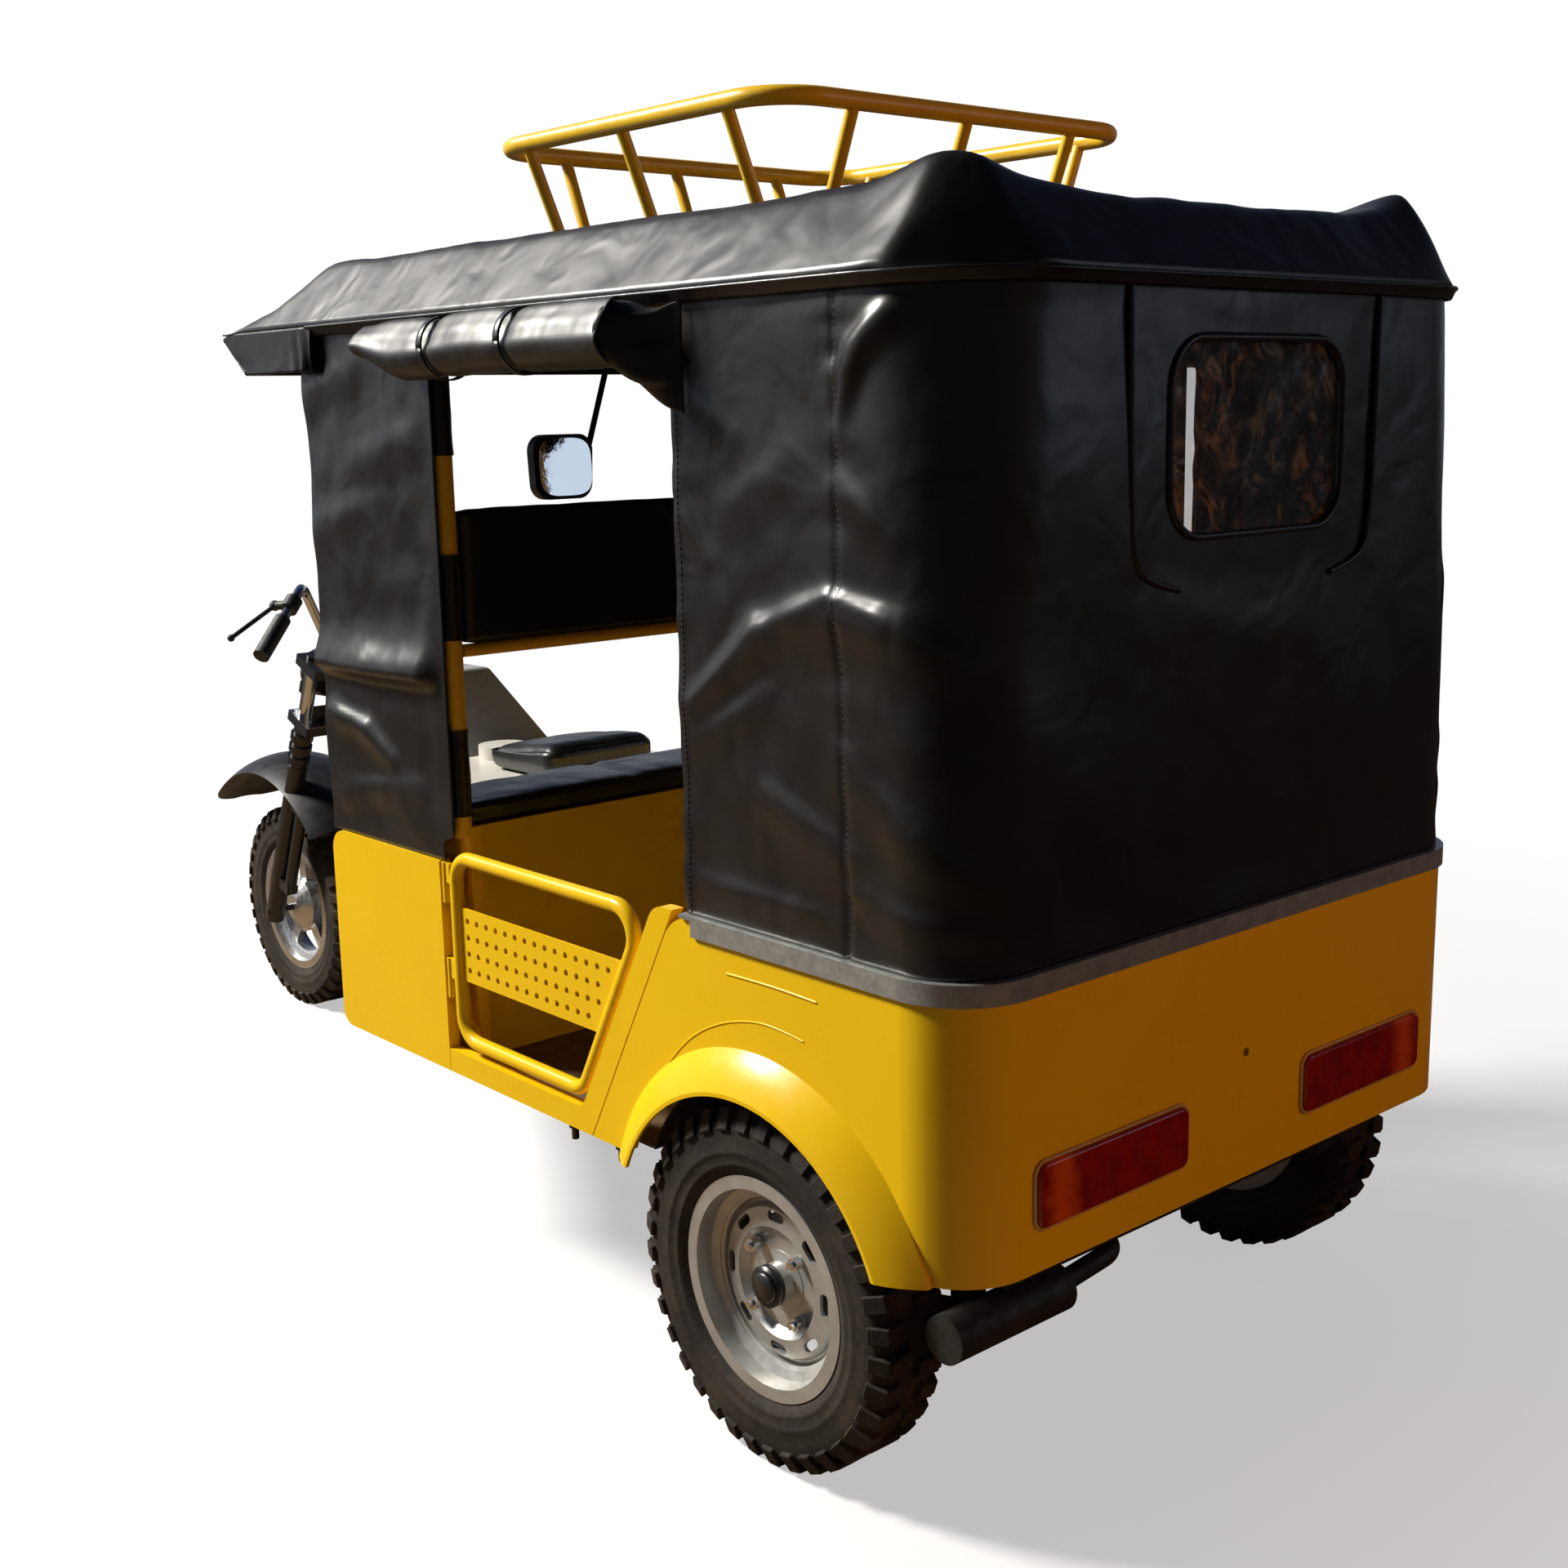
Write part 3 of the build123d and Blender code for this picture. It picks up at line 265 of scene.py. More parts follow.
def bump_node(tree, height, strength, distance, **under):
    """A bump; under may hold the Normal of another bump below it."""
    node = tree.nodes.new("ShaderNodeBump")
    fill(tree, node, Height=height, Strength=strength, Distance=distance, **under)
    return node.outputs["Normal"]


def axes_of(tree, coords):
    """The x, y and z of a set of coordinates."""
    split = tree.nodes.new("ShaderNodeSeparateXYZ")
    tree.links.new(coords, split.inputs[0])
    return split.outputs["X"], split.outputs["Y"], split.outputs["Z"]


print("helpers: math_node, mix_colour, bump_node, axes_of")

# %% [markdown]
# ## Shared groups
#
# Road dust and cloth creases turn up on many surfaces, so each is one node
# group. Dust is thick near the ground and patchy above; a crease is the ridge
# left in coated cloth that has been rolled up and let down again.

# %% Dust and creases
def group(name, inputs, outputs):
    """A shader group with named sockets."""
    tree = bpy.data.node_groups.new(name, "ShaderNodeTree")
    for label, kind, value in inputs:
        socket = tree.interface.new_socket(name=label, in_out="INPUT", socket_type=kind)
        socket.default_value = value
    for label, kind in outputs:
        tree.interface.new_socket(name=label, in_out="OUTPUT", socket_type=kind)
    return tree, tree.nodes.new("NodeGroupInput"), tree.nodes.new("NodeGroupOutput")


DUST_COLOUR, WEAVE = (0.30, 0.22, 0.14), 700.0


def make_dust():
    tree, source, sink = group("road_dust", [("Color", "NodeSocketColor", (0.5, 0.5, 0.5, 1)),
                                             ("Amount", "NodeSocketFloat", 0.5),
                                             ("High", "NodeSocketFloat", 0.6)],
                               [("Color", "NodeSocketColor"), ("Dust", "NodeSocketFloat")])
    coords = tree.nodes.new("ShaderNodeTexCoord").outputs["Object"]
    rise = tree.nodes.new("ShaderNodeMapRange")
    fill(tree, rise, Value=axes_of(tree, coords)[2], From_Max=source.outputs["High"], To_Min=1.0, To_Max=0.0)
    patches = remap(tree, noise_node(tree, coords, 7.0, 8.0, 0.65), 0.38, 0.72)
    near = math_node(tree, "MULTIPLY", patches, rise.outputs[0])
    amount = math_node(tree, "MULTIPLY", near, source.outputs["Amount"])
    fill(tree, sink, Color=mix_colour(tree, amount, source.outputs["Color"], DUST_COLOUR), Dust=amount)
    return tree


def make_crease():
    tree, source, sink = group("cloth_crease", [("Scale", "NodeSocketFloat", 6.0)],
                               [("Height", "NodeSocketFloat"), ("Grain", "NodeSocketFloat")])
    coords = tree.nodes.new("ShaderNodeTexCoord").outputs["Object"]
    warp = tree.nodes.new("ShaderNodeVectorMath")
    warp.operation = "SCALE"
    fill(tree, warp, Vector=coords, Scale=source.outputs["Scale"])
    folds = noise_node(tree, warp.outputs[0], 1.0, 2.0, 0.45, 0.4)
    ridge = math_node(tree, "ABSOLUTE", math_node(tree, "SUBTRACT", folds, 0.5))
    weave = tree.nodes.new("ShaderNodeTexVoronoi")
    fill(tree, weave, Vector=coords, Scale=WEAVE)
    fill(tree, sink, Height=remap(tree, ridge, 0.0, 0.25, 1.0, 0.0), Grain=weave.outputs["Distance"])
    return tree


DUST, CREASE = make_dust(), make_crease()
print("groups:", DUST.name, CREASE.name)

# %% [markdown]
# ## Paint, metal and plastic
#
# One recipe covers every hard surface: two near shades mixed by noise, dust on
# top, and a little unevenness in the gloss and in the normal.

# %% The recipe for hard surfaces
def new_material(name, **values):
    """A Principled material; returns its tree, shader and Object coordinates."""
    mat = bpy.data.materials.new(name)
    mat.use_nodes = True
    tree = mat.node_tree
    shader = tree.nodes["Principled BSDF"]
    fill(tree, shader, **values)
    return mat, tree, shader, tree.nodes.new("ShaderNodeTexCoord").outputs["Object"]


def use_group(tree, kind, **inputs):
    node = tree.nodes.new("ShaderNodeGroup")
    node.node_tree = kind
    fill(tree, node, **inputs)
    return node


def hard(name, shade_a, shade_b, rough, metal=0.0, coat=0.0, dust=0.25, dust_top=0.6,
         patch=4.0, bump=0.02, grain=60.0, shine=0.5):
    mat, tree, shader, coords = new_material(name, Metallic=metal, Coat_Weight=coat, Coat_Roughness=0.12,
                                             Specular_IOR_Level=shine)
    tone = remap(tree, noise_node(tree, coords, patch, 6.0, 0.6), 0.3, 0.7)
    dusty = use_group(tree, DUST, Color=mix_colour(tree, tone, shade_a, shade_b), Amount=dust, High=dust_top)
    gloss = remap(tree, noise_node(tree, coords, patch * 5, 5.0, 0.6), 0.3, 0.7, rough * 0.8, rough * 1.25)
    dull = math_node(tree, "MULTIPLY", dusty.outputs["Dust"], 0.3)
    fill(tree, shader, Base_Color=dusty.outputs["Color"], Roughness=math_node(tree, "ADD", gloss, dull),
         Normal=bump_node(tree, noise_node(tree, coords, grain, 3.0), bump, 0.004))
    return mat


print("recipe for hard surfaces ready")

# %% [markdown]
# The paint shop lists every hard finish with its two shades, its roughness and
# what sets it apart. Small parts were painted by hand, so their shades differ more
# than those of the large yellow panels, which are slowly uneven instead.

# %% The paint shop
YELLOW = hard("yellow_paint", (0.86, 0.53, 0.004), (0.82, 0.50, 0.004), 0.30, coat=0.12, dust=0.06,
              patch=2.0, bump=0.03, grain=5.0, shine=0.25)
RACK_YELLOW = hard("rack_paint", (0.92, 0.56, 0.012), (0.84, 0.48, 0.012), 0.34, coat=0.2, dust=0.0,
                   patch=14.0)
FRAME_PAINT = hard("frame_paint", (0.90, 0.50, 0.008), (0.80, 0.42, 0.007), 0.42, coat=0.15, dust=0.1,
                   patch=10.0)
BLACK_PAINT = hard("black_paint", (0.008, 0.008, 0.008), (0.014, 0.013, 0.012), 0.34, coat=0.2, dust=0.15)
CHASSIS = hard("chassis_black", (0.006, 0.006, 0.006), (0.012, 0.011, 0.010), 0.55, dust=0.12, patch=9.0)
GLOSS_PLASTIC = hard("gloss_plastic", (0.006, 0.006, 0.007), (0.010, 0.010, 0.010), 0.42, coat=0.05, dust=0.0,
                     shine=0.3)
SOFT_PLASTIC = hard("grip_rubber", (0.008, 0.008, 0.008), (0.014, 0.013, 0.013), 0.5, dust=0.05, grain=400.0,
                    bump=0.2)
SILVER = hard("rim_silver", (0.52, 0.52, 0.50), (0.42, 0.42, 0.40), 0.38, metal=0.6, coat=0.1, dust_top=0.5,
              patch=16.0)
ALLOY = hard("cast_alloy", (0.62, 0.63, 0.64), (0.5, 0.5, 0.5), 0.3, metal=0.95, dust=0.2, dust_top=0.5,
             patch=20.0)
CHROME = hard("chrome", (0.72, 0.72, 0.73), (0.66, 0.66, 0.67), 0.14, metal=1.0, dust=0.0, patch=12.0)
GALVANISED = hard("galvanised", (0.46, 0.47, 0.45), (0.34, 0.35, 0.34), 0.40, metal=0.7, dust=0.0, patch=40.0,
                  bump=0.05)
CREAM = hard("cream_paint", (0.66, 0.64, 0.58), (0.60, 0.57, 0.50), 0.34, coat=0.2, dust=0.15, dust_top=0.9)
GREY = hard("grey_plastic", (0.34, 0.34, 0.34), (0.28, 0.28, 0.28), 0.32, coat=0.2, dust=0.1, dust_top=1.0)
FLOOR_STEEL = hard("floor_steel", (0.10, 0.06, 0.03), (0.16, 0.09, 0.04), 0.6, dust=0.5)
IRON = hard("cast_iron", (0.10, 0.10, 0.10), (0.15, 0.14, 0.13), 0.55, metal=0.5, dust=0.3, patch=20.0,
            bump=0.2)
THREAD = hard("thread", (0.004, 0.004, 0.004), (0.010, 0.009, 0.008), 0.7, dust=0.0)
BORDER = hard("lamp_border", (0.62, 0.40, 0.10), (0.52, 0.33, 0.08), 0.4, dust=0.0)
LENS = hard("lamp_glass", (0.60, 0.63, 0.66), (0.48, 0.51, 0.54), 0.08, metal=0.7, coat=0.4, dust=0.0)
MIRROR_GLASS = hard("mirror_glass", (0.86, 0.88, 0.90), (0.82, 0.84, 0.86), 0.03, metal=1.0, dust=0.0)
print("hard materials:", len(bpy.data.materials))

# %% [markdown]
# Tyre rubber is never clean: pale dust is worked into it, so a brown cast and
# fine specks are mixed into a nearly black base.

# %% Tyre rubber
def rubber():
    mat, tree, shader, coords = new_material("tyre_rubber", Specular_IOR_Level=0.3, Roughness=0.78)
    patch = remap(tree, noise_node(tree, coords, 9.0, 8.0, 0.65), 0.35, 0.7)
    base = mix_colour(tree, patch, (0.014, 0.011, 0.009), (0.045, 0.034, 0.024))
    speck = remap(tree, noise_node(tree, coords, 120.0, 4.0), 0.55, 0.75)
    dusty = mix_colour(tree, math_node(tree, "MULTIPLY", speck, 0.3), base, (0.11, 0.085, 0.06))
    pores = noise_node(tree, coords, 220.0, 5.0)
    fill(tree, shader, Base_Color=dusty, Normal=bump_node(tree, pores, 0.35, 0.002))
    return mat


TYRE = rubber()
print("made", TYRE.name)

# %% [markdown]
# ## Vinyl
#
# The hood is coated cloth: nearly black with a brown cast, and satin, so that
# the sun draws a broad band along every fold. The big folds are real geometry;
# the material adds only faint creases and the grain.

# %% Vinyl for the hood and the seats
def vinyl(name, shade, rough, scale, depth, grain, shine=0.42, coat=0.2):
    mat, tree, shader, coords = new_material(name, Specular_IOR_Level=shine, Coat_Weight=coat,
                                             Coat_Roughness=0.22)
    tone = remap(tree, noise_node(tree, coords, 2.2, 5.0, 0.6), 0.35, 0.75)
    gloss = remap(tree, noise_node(tree, coords, 10.0, 5.0, 0.6), 0.3, 0.75, rough * 0.85, rough * 1.2)
    crease = use_group(tree, CREASE, Scale=scale)
    folds = bump_node(tree, crease.outputs["Height"], depth, 0.010)
    normal = bump_node(tree, crease.outputs["Grain"], grain, 0.0008, Normal=folds)
    fill(tree, shader, Base_Color=mix_colour(tree, tone, shade, tuple(1.7 * c for c in shade)),
         Roughness=gloss, Normal=normal, Coat_Normal=normal)
    return mat


HOOD = vinyl("hood_vinyl", (0.0060, 0.0046, 0.0038), 0.38, 9.0, 0.10, 0.05)
# The rolls are the hood's vinyl made shinier and lighter in colour: the lighter colour is a painted sheen for
# the sun along the rolls.
SHEEN_ROLL_VINYL = vinyl("roll_vinyl", (0.016, 0.015, 0.014), 0.46, 9.0, 0.06, 0.05, shine=0.5, coat=0.1)
SEAT = vinyl("seat_vinyl", (0.006, 0.006, 0.0065), 0.36, 11.0, 0.15, 0.15)
print("made", HOOD.name, SHEEN_ROLL_VINYL.name, SEAT.name)

# %% [markdown]
# ## Film and lenses
#
# The rear window is a clear film that has gone brown and crumpled, so noise with
# a strong distortion creases its normal. Its colour is dark with pale patches drawn
# by the same kind of noise: painted highlights for the glints on the crumples, tinted
# by the film's brown. A tail lamp is one dark red moulding with an amber glow at its
# outer end, found by its distance from the lamp's bulb there.

# %% Film and lens
def crumpled_film():
    mat, tree, shader, coords = new_material("clear_film", Roughness=0.16, Alpha=0.62, Specular_IOR_Level=0.5)
    creases = noise_node(tree, coords, 11.0, 7.0, 0.62, 2.4)
    # Painted highlights: tone lays pale glints of the crumples over the dark film.
    tone = remap(tree, noise_node(tree, coords, 13.0, 7.0, 0.68, 1.8), 0.46, 0.72)
    warm = remap(tree, noise_node(tree, coords, 6.0, 3.0), 0.42, 0.62)
    painted_glint = mix_colour(tree, warm, (0.22, 0.22, 0.21), (0.42, 0.26, 0.09))
    fill(tree, shader, Base_Color=mix_colour(tree, tone, (0.008, 0.007, 0.006), painted_glint),
         Normal=bump_node(tree, creases, 0.6, 0.02))
    return mat


AMBER_Y, AMBER_NEAR, AMBER_FAR = 0.415, 0.028, 0.068


def tail_lens():
    mat, tree, shader, coords = new_material("tail_lens", Roughness=0.15, Coat_Weight=0.3,
                                             Coat_Roughness=0.08)
    off = math_node(tree, "ABSOLUTE", axes_of(tree, coords)[1])
    reach = math_node(tree, "ABSOLUTE", math_node(tree, "SUBTRACT", off, AMBER_Y))
    cloud = math_node(tree, "MULTIPLY", noise_node(tree, coords, 40.0, 4.0), 0.05)
    amber = remap(tree, math_node(tree, "ADD", reach, cloud), AMBER_NEAR, AMBER_FAR, 1.0, 0.0)
    patch = remap(tree, noise_node(tree, coords, 24.0, 3.0), 0.35, 0.65)
    red = mix_colour(tree, patch, (0.20, 0.002, 0.002), (0.30, 0.004, 0.003))
    fill(tree, shader, Base_Color=mix_colour(tree, amber, red, (0.62, 0.080, 0.006)))
    return mat


FILM, TAIL = crumpled_film(), tail_lens()
print("made", FILM.name, TAIL.name)

# %% [markdown]
# The fork's tubes are chrome between the two clamps and black below, so its
# paint changes along the steering axis.

# %% The fork's two finishes
steer = next(j for j in frame["joints"] if j["name"] == "steer")
STEER_AXIS = Vector(steer["axis"]).normalized()
JOINT_UP, LOWER_UP, UPPER_UP = 0.650, 0.590, 0.722  # metres from the foot of the axis
STEER_FOOT = STEER_AXIS.dot(Vector(steer["pos_m"])) - JOINT_UP
CLAMP_LOW, CLAMP_HIGH = STEER_FOOT + LOWER_UP, STEER_FOOT + UPPER_UP
FORK_BLACK, FORK_CHROME = (0.008, 0.008, 0.008), (0.7, 0.7, 0.71)


def fork_finish():
    """Black paint that turns to bright metal between the two clamps."""
    mat, tree, shader, coords = new_material("fork_paint", Coat_Weight=0.2, Coat_Roughness=0.15)
    along = tree.nodes.new("ShaderNodeVectorMath")
    along.operation = "DOT_PRODUCT"
    tree.links.new(coords, along.inputs[0])
    along.inputs[1].default_value = tuple(STEER_AXIS)
    inside = math_node(tree, "MULTIPLY", math_node(tree, "GREATER_THAN", along.outputs["Value"], CLAMP_LOW),
                       math_node(tree, "LESS_THAN", along.outputs["Value"], CLAMP_HIGH))
    patch = remap(tree, noise_node(tree, coords, 12.0, 6.0), 0.3, 0.7)
    dark = mix_colour(tree, patch, FORK_BLACK, tuple(1.6 * c for c in FORK_BLACK))
    bright = mix_colour(tree, patch, FORK_CHROME, tuple(0.85 * c for c in FORK_CHROME))
    fill(tree, shader, Base_Color=mix_colour(tree, inside, dark, bright), Metallic=inside,
         Roughness=remap(tree, inside, 0.0, 1.0, 0.34, 0.16))
    return mat


FORK_PAINT = fork_finish()
print("made", FORK_PAINT.name)

# %% [markdown]
# ## Painting the CAD solids
#
# Every hard solid keeps its CAD mesh and only gets a finish. A copy could be
# reworked, but the shapes are right already, so only the material slots change.

# %% Finishes by node
PAINT = {
    YELLOW: ["rear_tub", "side_sills", "front_panels", "gate_frame_left", "gate_frame_right",
             "gate_plate_left", "gate_plate_right", "front_box", "rear_seat_box"],
    CHASSIS: ["chassis_rails", "neck_frame", "rear_axle", "leaf_springs", "drive_shaft", "exhaust",
              "wheel_housings"],
    RACK_YELLOW: ["roof_rack"], FRAME_PAINT: ["canopy_frame"], GALVANISED: ["trim_strip"],
    TAIL: ["tail_lamps"], FLOOR_STEEL: ["floor_pan"], SILVER: ["rear_rim_left", "rear_rim_right"],
    ALLOY: ["front_rim"], IRON: ["engine"], CREAM: ["engine_cover"], GREY: ["front_cowl"],
    FORK_PAINT: ["fork"], CHROME: ["handlebar"], SOFT_PLASTIC: ["grips"],
    GLOSS_PLASTIC: ["front_fender", "headlamp", "cab_mirror"],
}
for material, names in PAINT.items():
    for name in names:
        mesh = NODES[name].data
        mesh.materials.clear()
        mesh.materials.append(material)
print("painted", sum(len(names) for names in PAINT.values()), "nodes")

# %% [markdown]
# ## The rear curtain
#
# One sheet runs from the left doorway round the back to the right doorway. In
# plan it is a U whose corners are tight at the steel tub and wide under the
# roof, so the corner radius grows with height.

# %% The curtain's line in plan
CURTAIN_HALF, CURTAIN_BACK, CURTAIN_FRONT = 588.0, -391.0, 155.0
CURTAIN_PLAN = (CURTAIN_HALF, CURTAIN_BACK, CURTAIN_FRONT)
CURTAIN_LOW_R, CURTAIN_TOP_R = 105.0, 174.0


def u_run(half, back, front, radius):
    """The length of a U with two rounded corners."""
    return 2 * (front - back) + 2 * half - (4 - math.pi) * radius


def u_line(s, half, back, front, radius):
    """A place on the U and its outward direction, s mm from the left front end."""
    run = u_run(half, back, front, radius)
    if s > run / 2:
        x, y, nx, ny = u_line(run - s, half, back, front, radius)
        return x, -y, nx, -ny
    side = front - back - radius
    if s < side:
        return front - s, half, 0.0, 1.0
    turn = (s - side) / radius
    if turn < math.pi / 2:
        nx, ny = -math.sin(turn), math.cos(turn)
        return back + radius + radius * nx, half - radius + radius * ny, nx, ny
    return back, half - radius - (s - side - math.pi / 2 * radius), -1.0, 0.0


CURTAIN_RUN = u_run(*CURTAIN_PLAN, CURTAIN_LOW_R)
print("the curtain is", round(CURTAIN_RUN), "mm round")

# %% [markdown]
# Its folds are placed one by one. A fold in hanging vinyl has a short bright
# shelf that faces up and a long dark side that faces down, so each ridge has one
# width above its line and another below.

# %% The curtain's folds
RIDGES = [  # s and z of each end, height, width above, width below
    (30, 1105, 180, 1222, 13.0, 16.0, 46.0), (180, 1222, 322, 1268, 14.0, 16.0, 46.0),
    (345, 1264, 440, 1246, 13.0, 15.0, 42.0), (440, 1246, 520, 1195, 9.0, 20.0, 48.0),
    (45, 1055, 195, 1136, 7.0, 17.0, 36.0), (356, 1560, 435, 1628, 12.0, 12.0, 28.0),
    (347, 1490, 388, 1580, 7.0, 9.0, 18.0), (350, 1420, 430, 1355, 6.0, 14.0, 30.0),
    (8, 1400, 62, 1310, 5.0, 10.0, 18.0), (50, 1535, 125, 1480, 5.0, 13.0, 30.0),
    (130, 1385, 245, 1450, 4.0, 22.0, 40.0), (60, 850, 325, 842, 5.0, 17.0, 40.0),
    (190, 1000, 336, 945, 6.0, 18.0, 42.0), (352, 1060, 520, 930, 7.0, 22.0, 46.0),
    (380, 880, 560, 850, 5.0, 20.0, 40.0), (560, 1180, 760, 960, 4.0, 60.0, 60.0),
    (900, 1230, 1190, 1180, 4.0, 44.0, 60.0), (1250, 1240, 1420, 960, 4.0, 60.0, 60.0),
]


def fold(s, z, ridge):
    """The height that one ridge gives at a place on the sheet."""
    s0, z0, s1, z1, height, above, below = ridge
    run = (s1 - s0) ** 2 + (z1 - z0) ** 2
    t = min(max(((s - s0) * (s1 - s0) + (z - z0) * (z1 - z0)) / run, 0.0), 1.0)
    ds, dz = s - s0 - t * (s1 - s0), z - z0 - t * (z1 - z0)
    d = math.hypot(ds, dz)
    width = below + (above - below) * (0.5 + 0.5 * dz / max(d, 1e-6))
    return height * bell(d, width) * (0.6 + 0.4 * math.sin(math.pi * t))


print(len(RIDGES), "ridges")

# %% [markdown]
# Between the folds a slow swell fills the sheet, with ripples that calm down round
# the back, where the cloth is tight. The steel and the roof hold it flat below and
# above, and so does the window. Seams pull it in, with puckers beside them, and the
# free edges at the doorways are hemmed. The right side has the left side's folds,
# set a little higher.

# %% The curtain's relief
CURTAIN_Z0, CURTAIN_Z1 = 797.0, 1667.0
CURTAIN_DROP = CURTAIN_Z1 - CURTAIN_Z0
SWELL = [(6.0, 0.0042, 0.0032, 1.0)]  # height, scale along, scale up, seed
RIPPLES = [(2.4, 0.0105, 0.0085, 4.0), (0.7, 0.026, 0.021, 9.0)]
LOW_HOLD, TOP_HOLD, WINDOW_HOLD = 60.0, 50.0, 90.0
CALM_FROM, CALM_TO, CALM_SHARE = 480.0, 640.0, 0.65
RIGHT_RUN, RIGHT_RISE = 560.0, 40.0
SEAM_S, SEAM_DEPTH, SEAM_W, PUCKER, PUCKER_REACH = 340.0, 4.0, 6.0, 1.6, 26.0
EDGE_WAVE, EDGE_REACH, EDGE_THICK, EDGE_W = 1.4, 24.0, 1.2, 16.0
DEEPEST, HIGHEST = -12.0, 15.0
WINDOW_HALF, WINDOW_MID, WINDOW_TALL, WINDOW_R = 197.0, 1459.5, 259.0, 65.0


def swell(a, b, waves):
    """Waves of smooth noise, added up."""
    return sum(height * wave(a * along, b * up, seed) for height, along, up, seed in waves)


def curtain_relief(s, z):
    near = min(s, CURTAIN_RUN - s)
    hold = smooth(CURTAIN_Z0, CURTAIN_Z0 + LOW_HOLD, z) * smooth(CURTAIN_Z1 + 2, CURTAIN_Z1 - TOP_HOLD, z)
    calm = 1 - CALM_SHARE * smooth(CALM_FROM, CALM_TO, near)
    height = swell(s, z, SWELL) + calm * swell(s, z, RIPPLES)
    for ridge in RIDGES:
        height += fold(s, z, ridge)
        if s > CURTAIN_RUN - RIGHT_RUN:
            height += fold(CURTAIN_RUN - s, z - RIGHT_RISE, ridge)
    d = abs(near - SEAM_S)
    pucker = math.sin(z / 10.5 + 4 * wave(0, z * 0.012, 2.0)) * math.exp(-d / PUCKER_REACH)
    pucker *= PUCKER * (0.6 + 0.8 * wave(3, z * 0.02, 5))
    edge = EDGE_WAVE * math.sin(z / 16 + 3 * wave(5, z * 0.01, 1)) * math.exp(-near / EDGE_REACH)
    height = height * hold + pucker - SEAM_DEPTH * bell(d, SEAM_W) + edge + EDGE_THICK * (near < EDGE_W)
    return max(DEEPEST, min(height, HIGHEST))


def curtain_place(s, z, lift=0.0):
    """A point on the curtain, lifted outward."""
    radius = CURTAIN_LOW_R + (CURTAIN_TOP_R - CURTAIN_LOW_R) * (z - CURTAIN_Z0) / CURTAIN_DROP
    stretch = u_run(*CURTAIN_PLAN, radius) / CURTAIN_RUN
    x, y, nx, ny = u_line(s * stretch, *CURTAIN_PLAN, radius)
    out = curtain_relief(s, z)
    if nx < -0.999:
        beside = max(abs(y) - WINDOW_HALF, abs(z - WINDOW_MID) - WINDOW_TALL / 2)
        out *= smooth(0, WINDOW_HOLD, beside)
    return at(x + nx * (out + lift), y + ny * (out + lift), z)


print("relief from", DEEPEST, "to", HIGHEST, "mm")

# %% [markdown]
# The grid follows that relief, and the faces inside the window's outline are
# taken out before it is shaped. The sheet is as long as the U round its tightest
# corners, and higher up it is fitted to the shorter U with wider corners.

# %% Sew the curtain
CURTAIN_THICK = 0.0028


def sew(name, sheet, thick=None, material=HOOD):
    """A piece of vinyl, with its cloth's thickness where that is given."""
    obj = piece(name, sheet, material)
    return thicken(obj, thick) if thick else obj


def on_curtain(u, v):
    return u * CURTAIN_RUN, CURTAIN_Z0 + v * CURTAIN_DROP


def in_window(u, v):
    s, z = on_curtain(u, v)
    dy = abs(s - CURTAIN_RUN / 2) - WINDOW_HALF
    dz = abs(z - WINDOW_MID) - WINDOW_TALL / 2
    return max(dy, dz) < 0 and math.hypot(max(dy + WINDOW_R, 0), max(dz + WINDOW_R, 0)) < WINDOW_R


sheet = cloth_grid(340, 150, lambda u, v: curtain_place(*on_curtain(u, v)), in_window)
rear_curtain = sew("rear_curtain_cloth", sheet)
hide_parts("rear_curtain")
thicken(rear_curtain, CURTAIN_THICK)

# %% [markdown]
# A piped welt hides the cut round the window, and a second one draws the flap
# that can be let down over it. A curve with a round section makes both.

# %% Welts round the window
def round_rect(half, middle, tall, radius, steps=7):
    """A rounded rectangle of (y, z) points."""
    points = []
    for cy, cz, start in ((1, 1, 0), (-1, 1, 90), (-1, -1, 180), (1, -1, 270)):
        for k in range(steps + 1):
            a = math.radians(start + 90 * k / steps)
            points.append((cy * (half - radius) + radius * math.cos(a),
                           middle + cz * (tall / 2 - radius) + radius * math.sin(a)))
    return points


def welt(name, points, radius, closed=False):
    """A piped edge of vinyl."""
    return tube(name, points, radius, HOOD, closed)


outline = round_rect(WINDOW_HALF + 1, WINDOW_MID, WINDOW_TALL + 2, WINDOW_R)
welt("window_welt", [at(CURTAIN_BACK - 2, y, z) for y, z in outline], 0.0055, closed=True)
FLAP = [(284, 1658), (282, 1550), (280, 1440), (276, 1340), (266, 1298), (236, 1274), (176, 1262)]
for side, label in SIDES:
    welt(f"flap_welt_{label}", [at(CURTAIN_BACK - 3.5, side * y, z) for y, z in FLAP], 0.0048)
print("welt round", round(2 * WINDOW_HALF), "by", round(WINDOW_TALL), "mm")

# %% [markdown]
# The film is sewn in behind the cut and a little larger than it. It is loose, so
# its grid is pushed in and out by noise, sharper one way than the other.

# %% Window film
FILM_MARGIN, FILM_DEPTH = 14.0, 6.0
FILM_TALL = WINDOW_TALL + 2 * FILM_MARGIN


def film_point(u, v):
    y, z = (2 * u - 1) * (WINDOW_HALF + FILM_MARGIN), WINDOW_MID + (v - 0.5) * FILM_TALL
    depth = 5 * wave(y * 0.012, z * 0.011, 1) + 4.0 * abs(wave(y * 0.03, z * 0.026, 2))
    return at(CURTAIN_BACK + FILM_DEPTH + depth * 0.6, y, z)


film = piece("window_film", cloth_grid(90, 64, film_point), FILM)
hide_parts("rear_window")
print("film", round(cloth_area(film), 3), "m2")

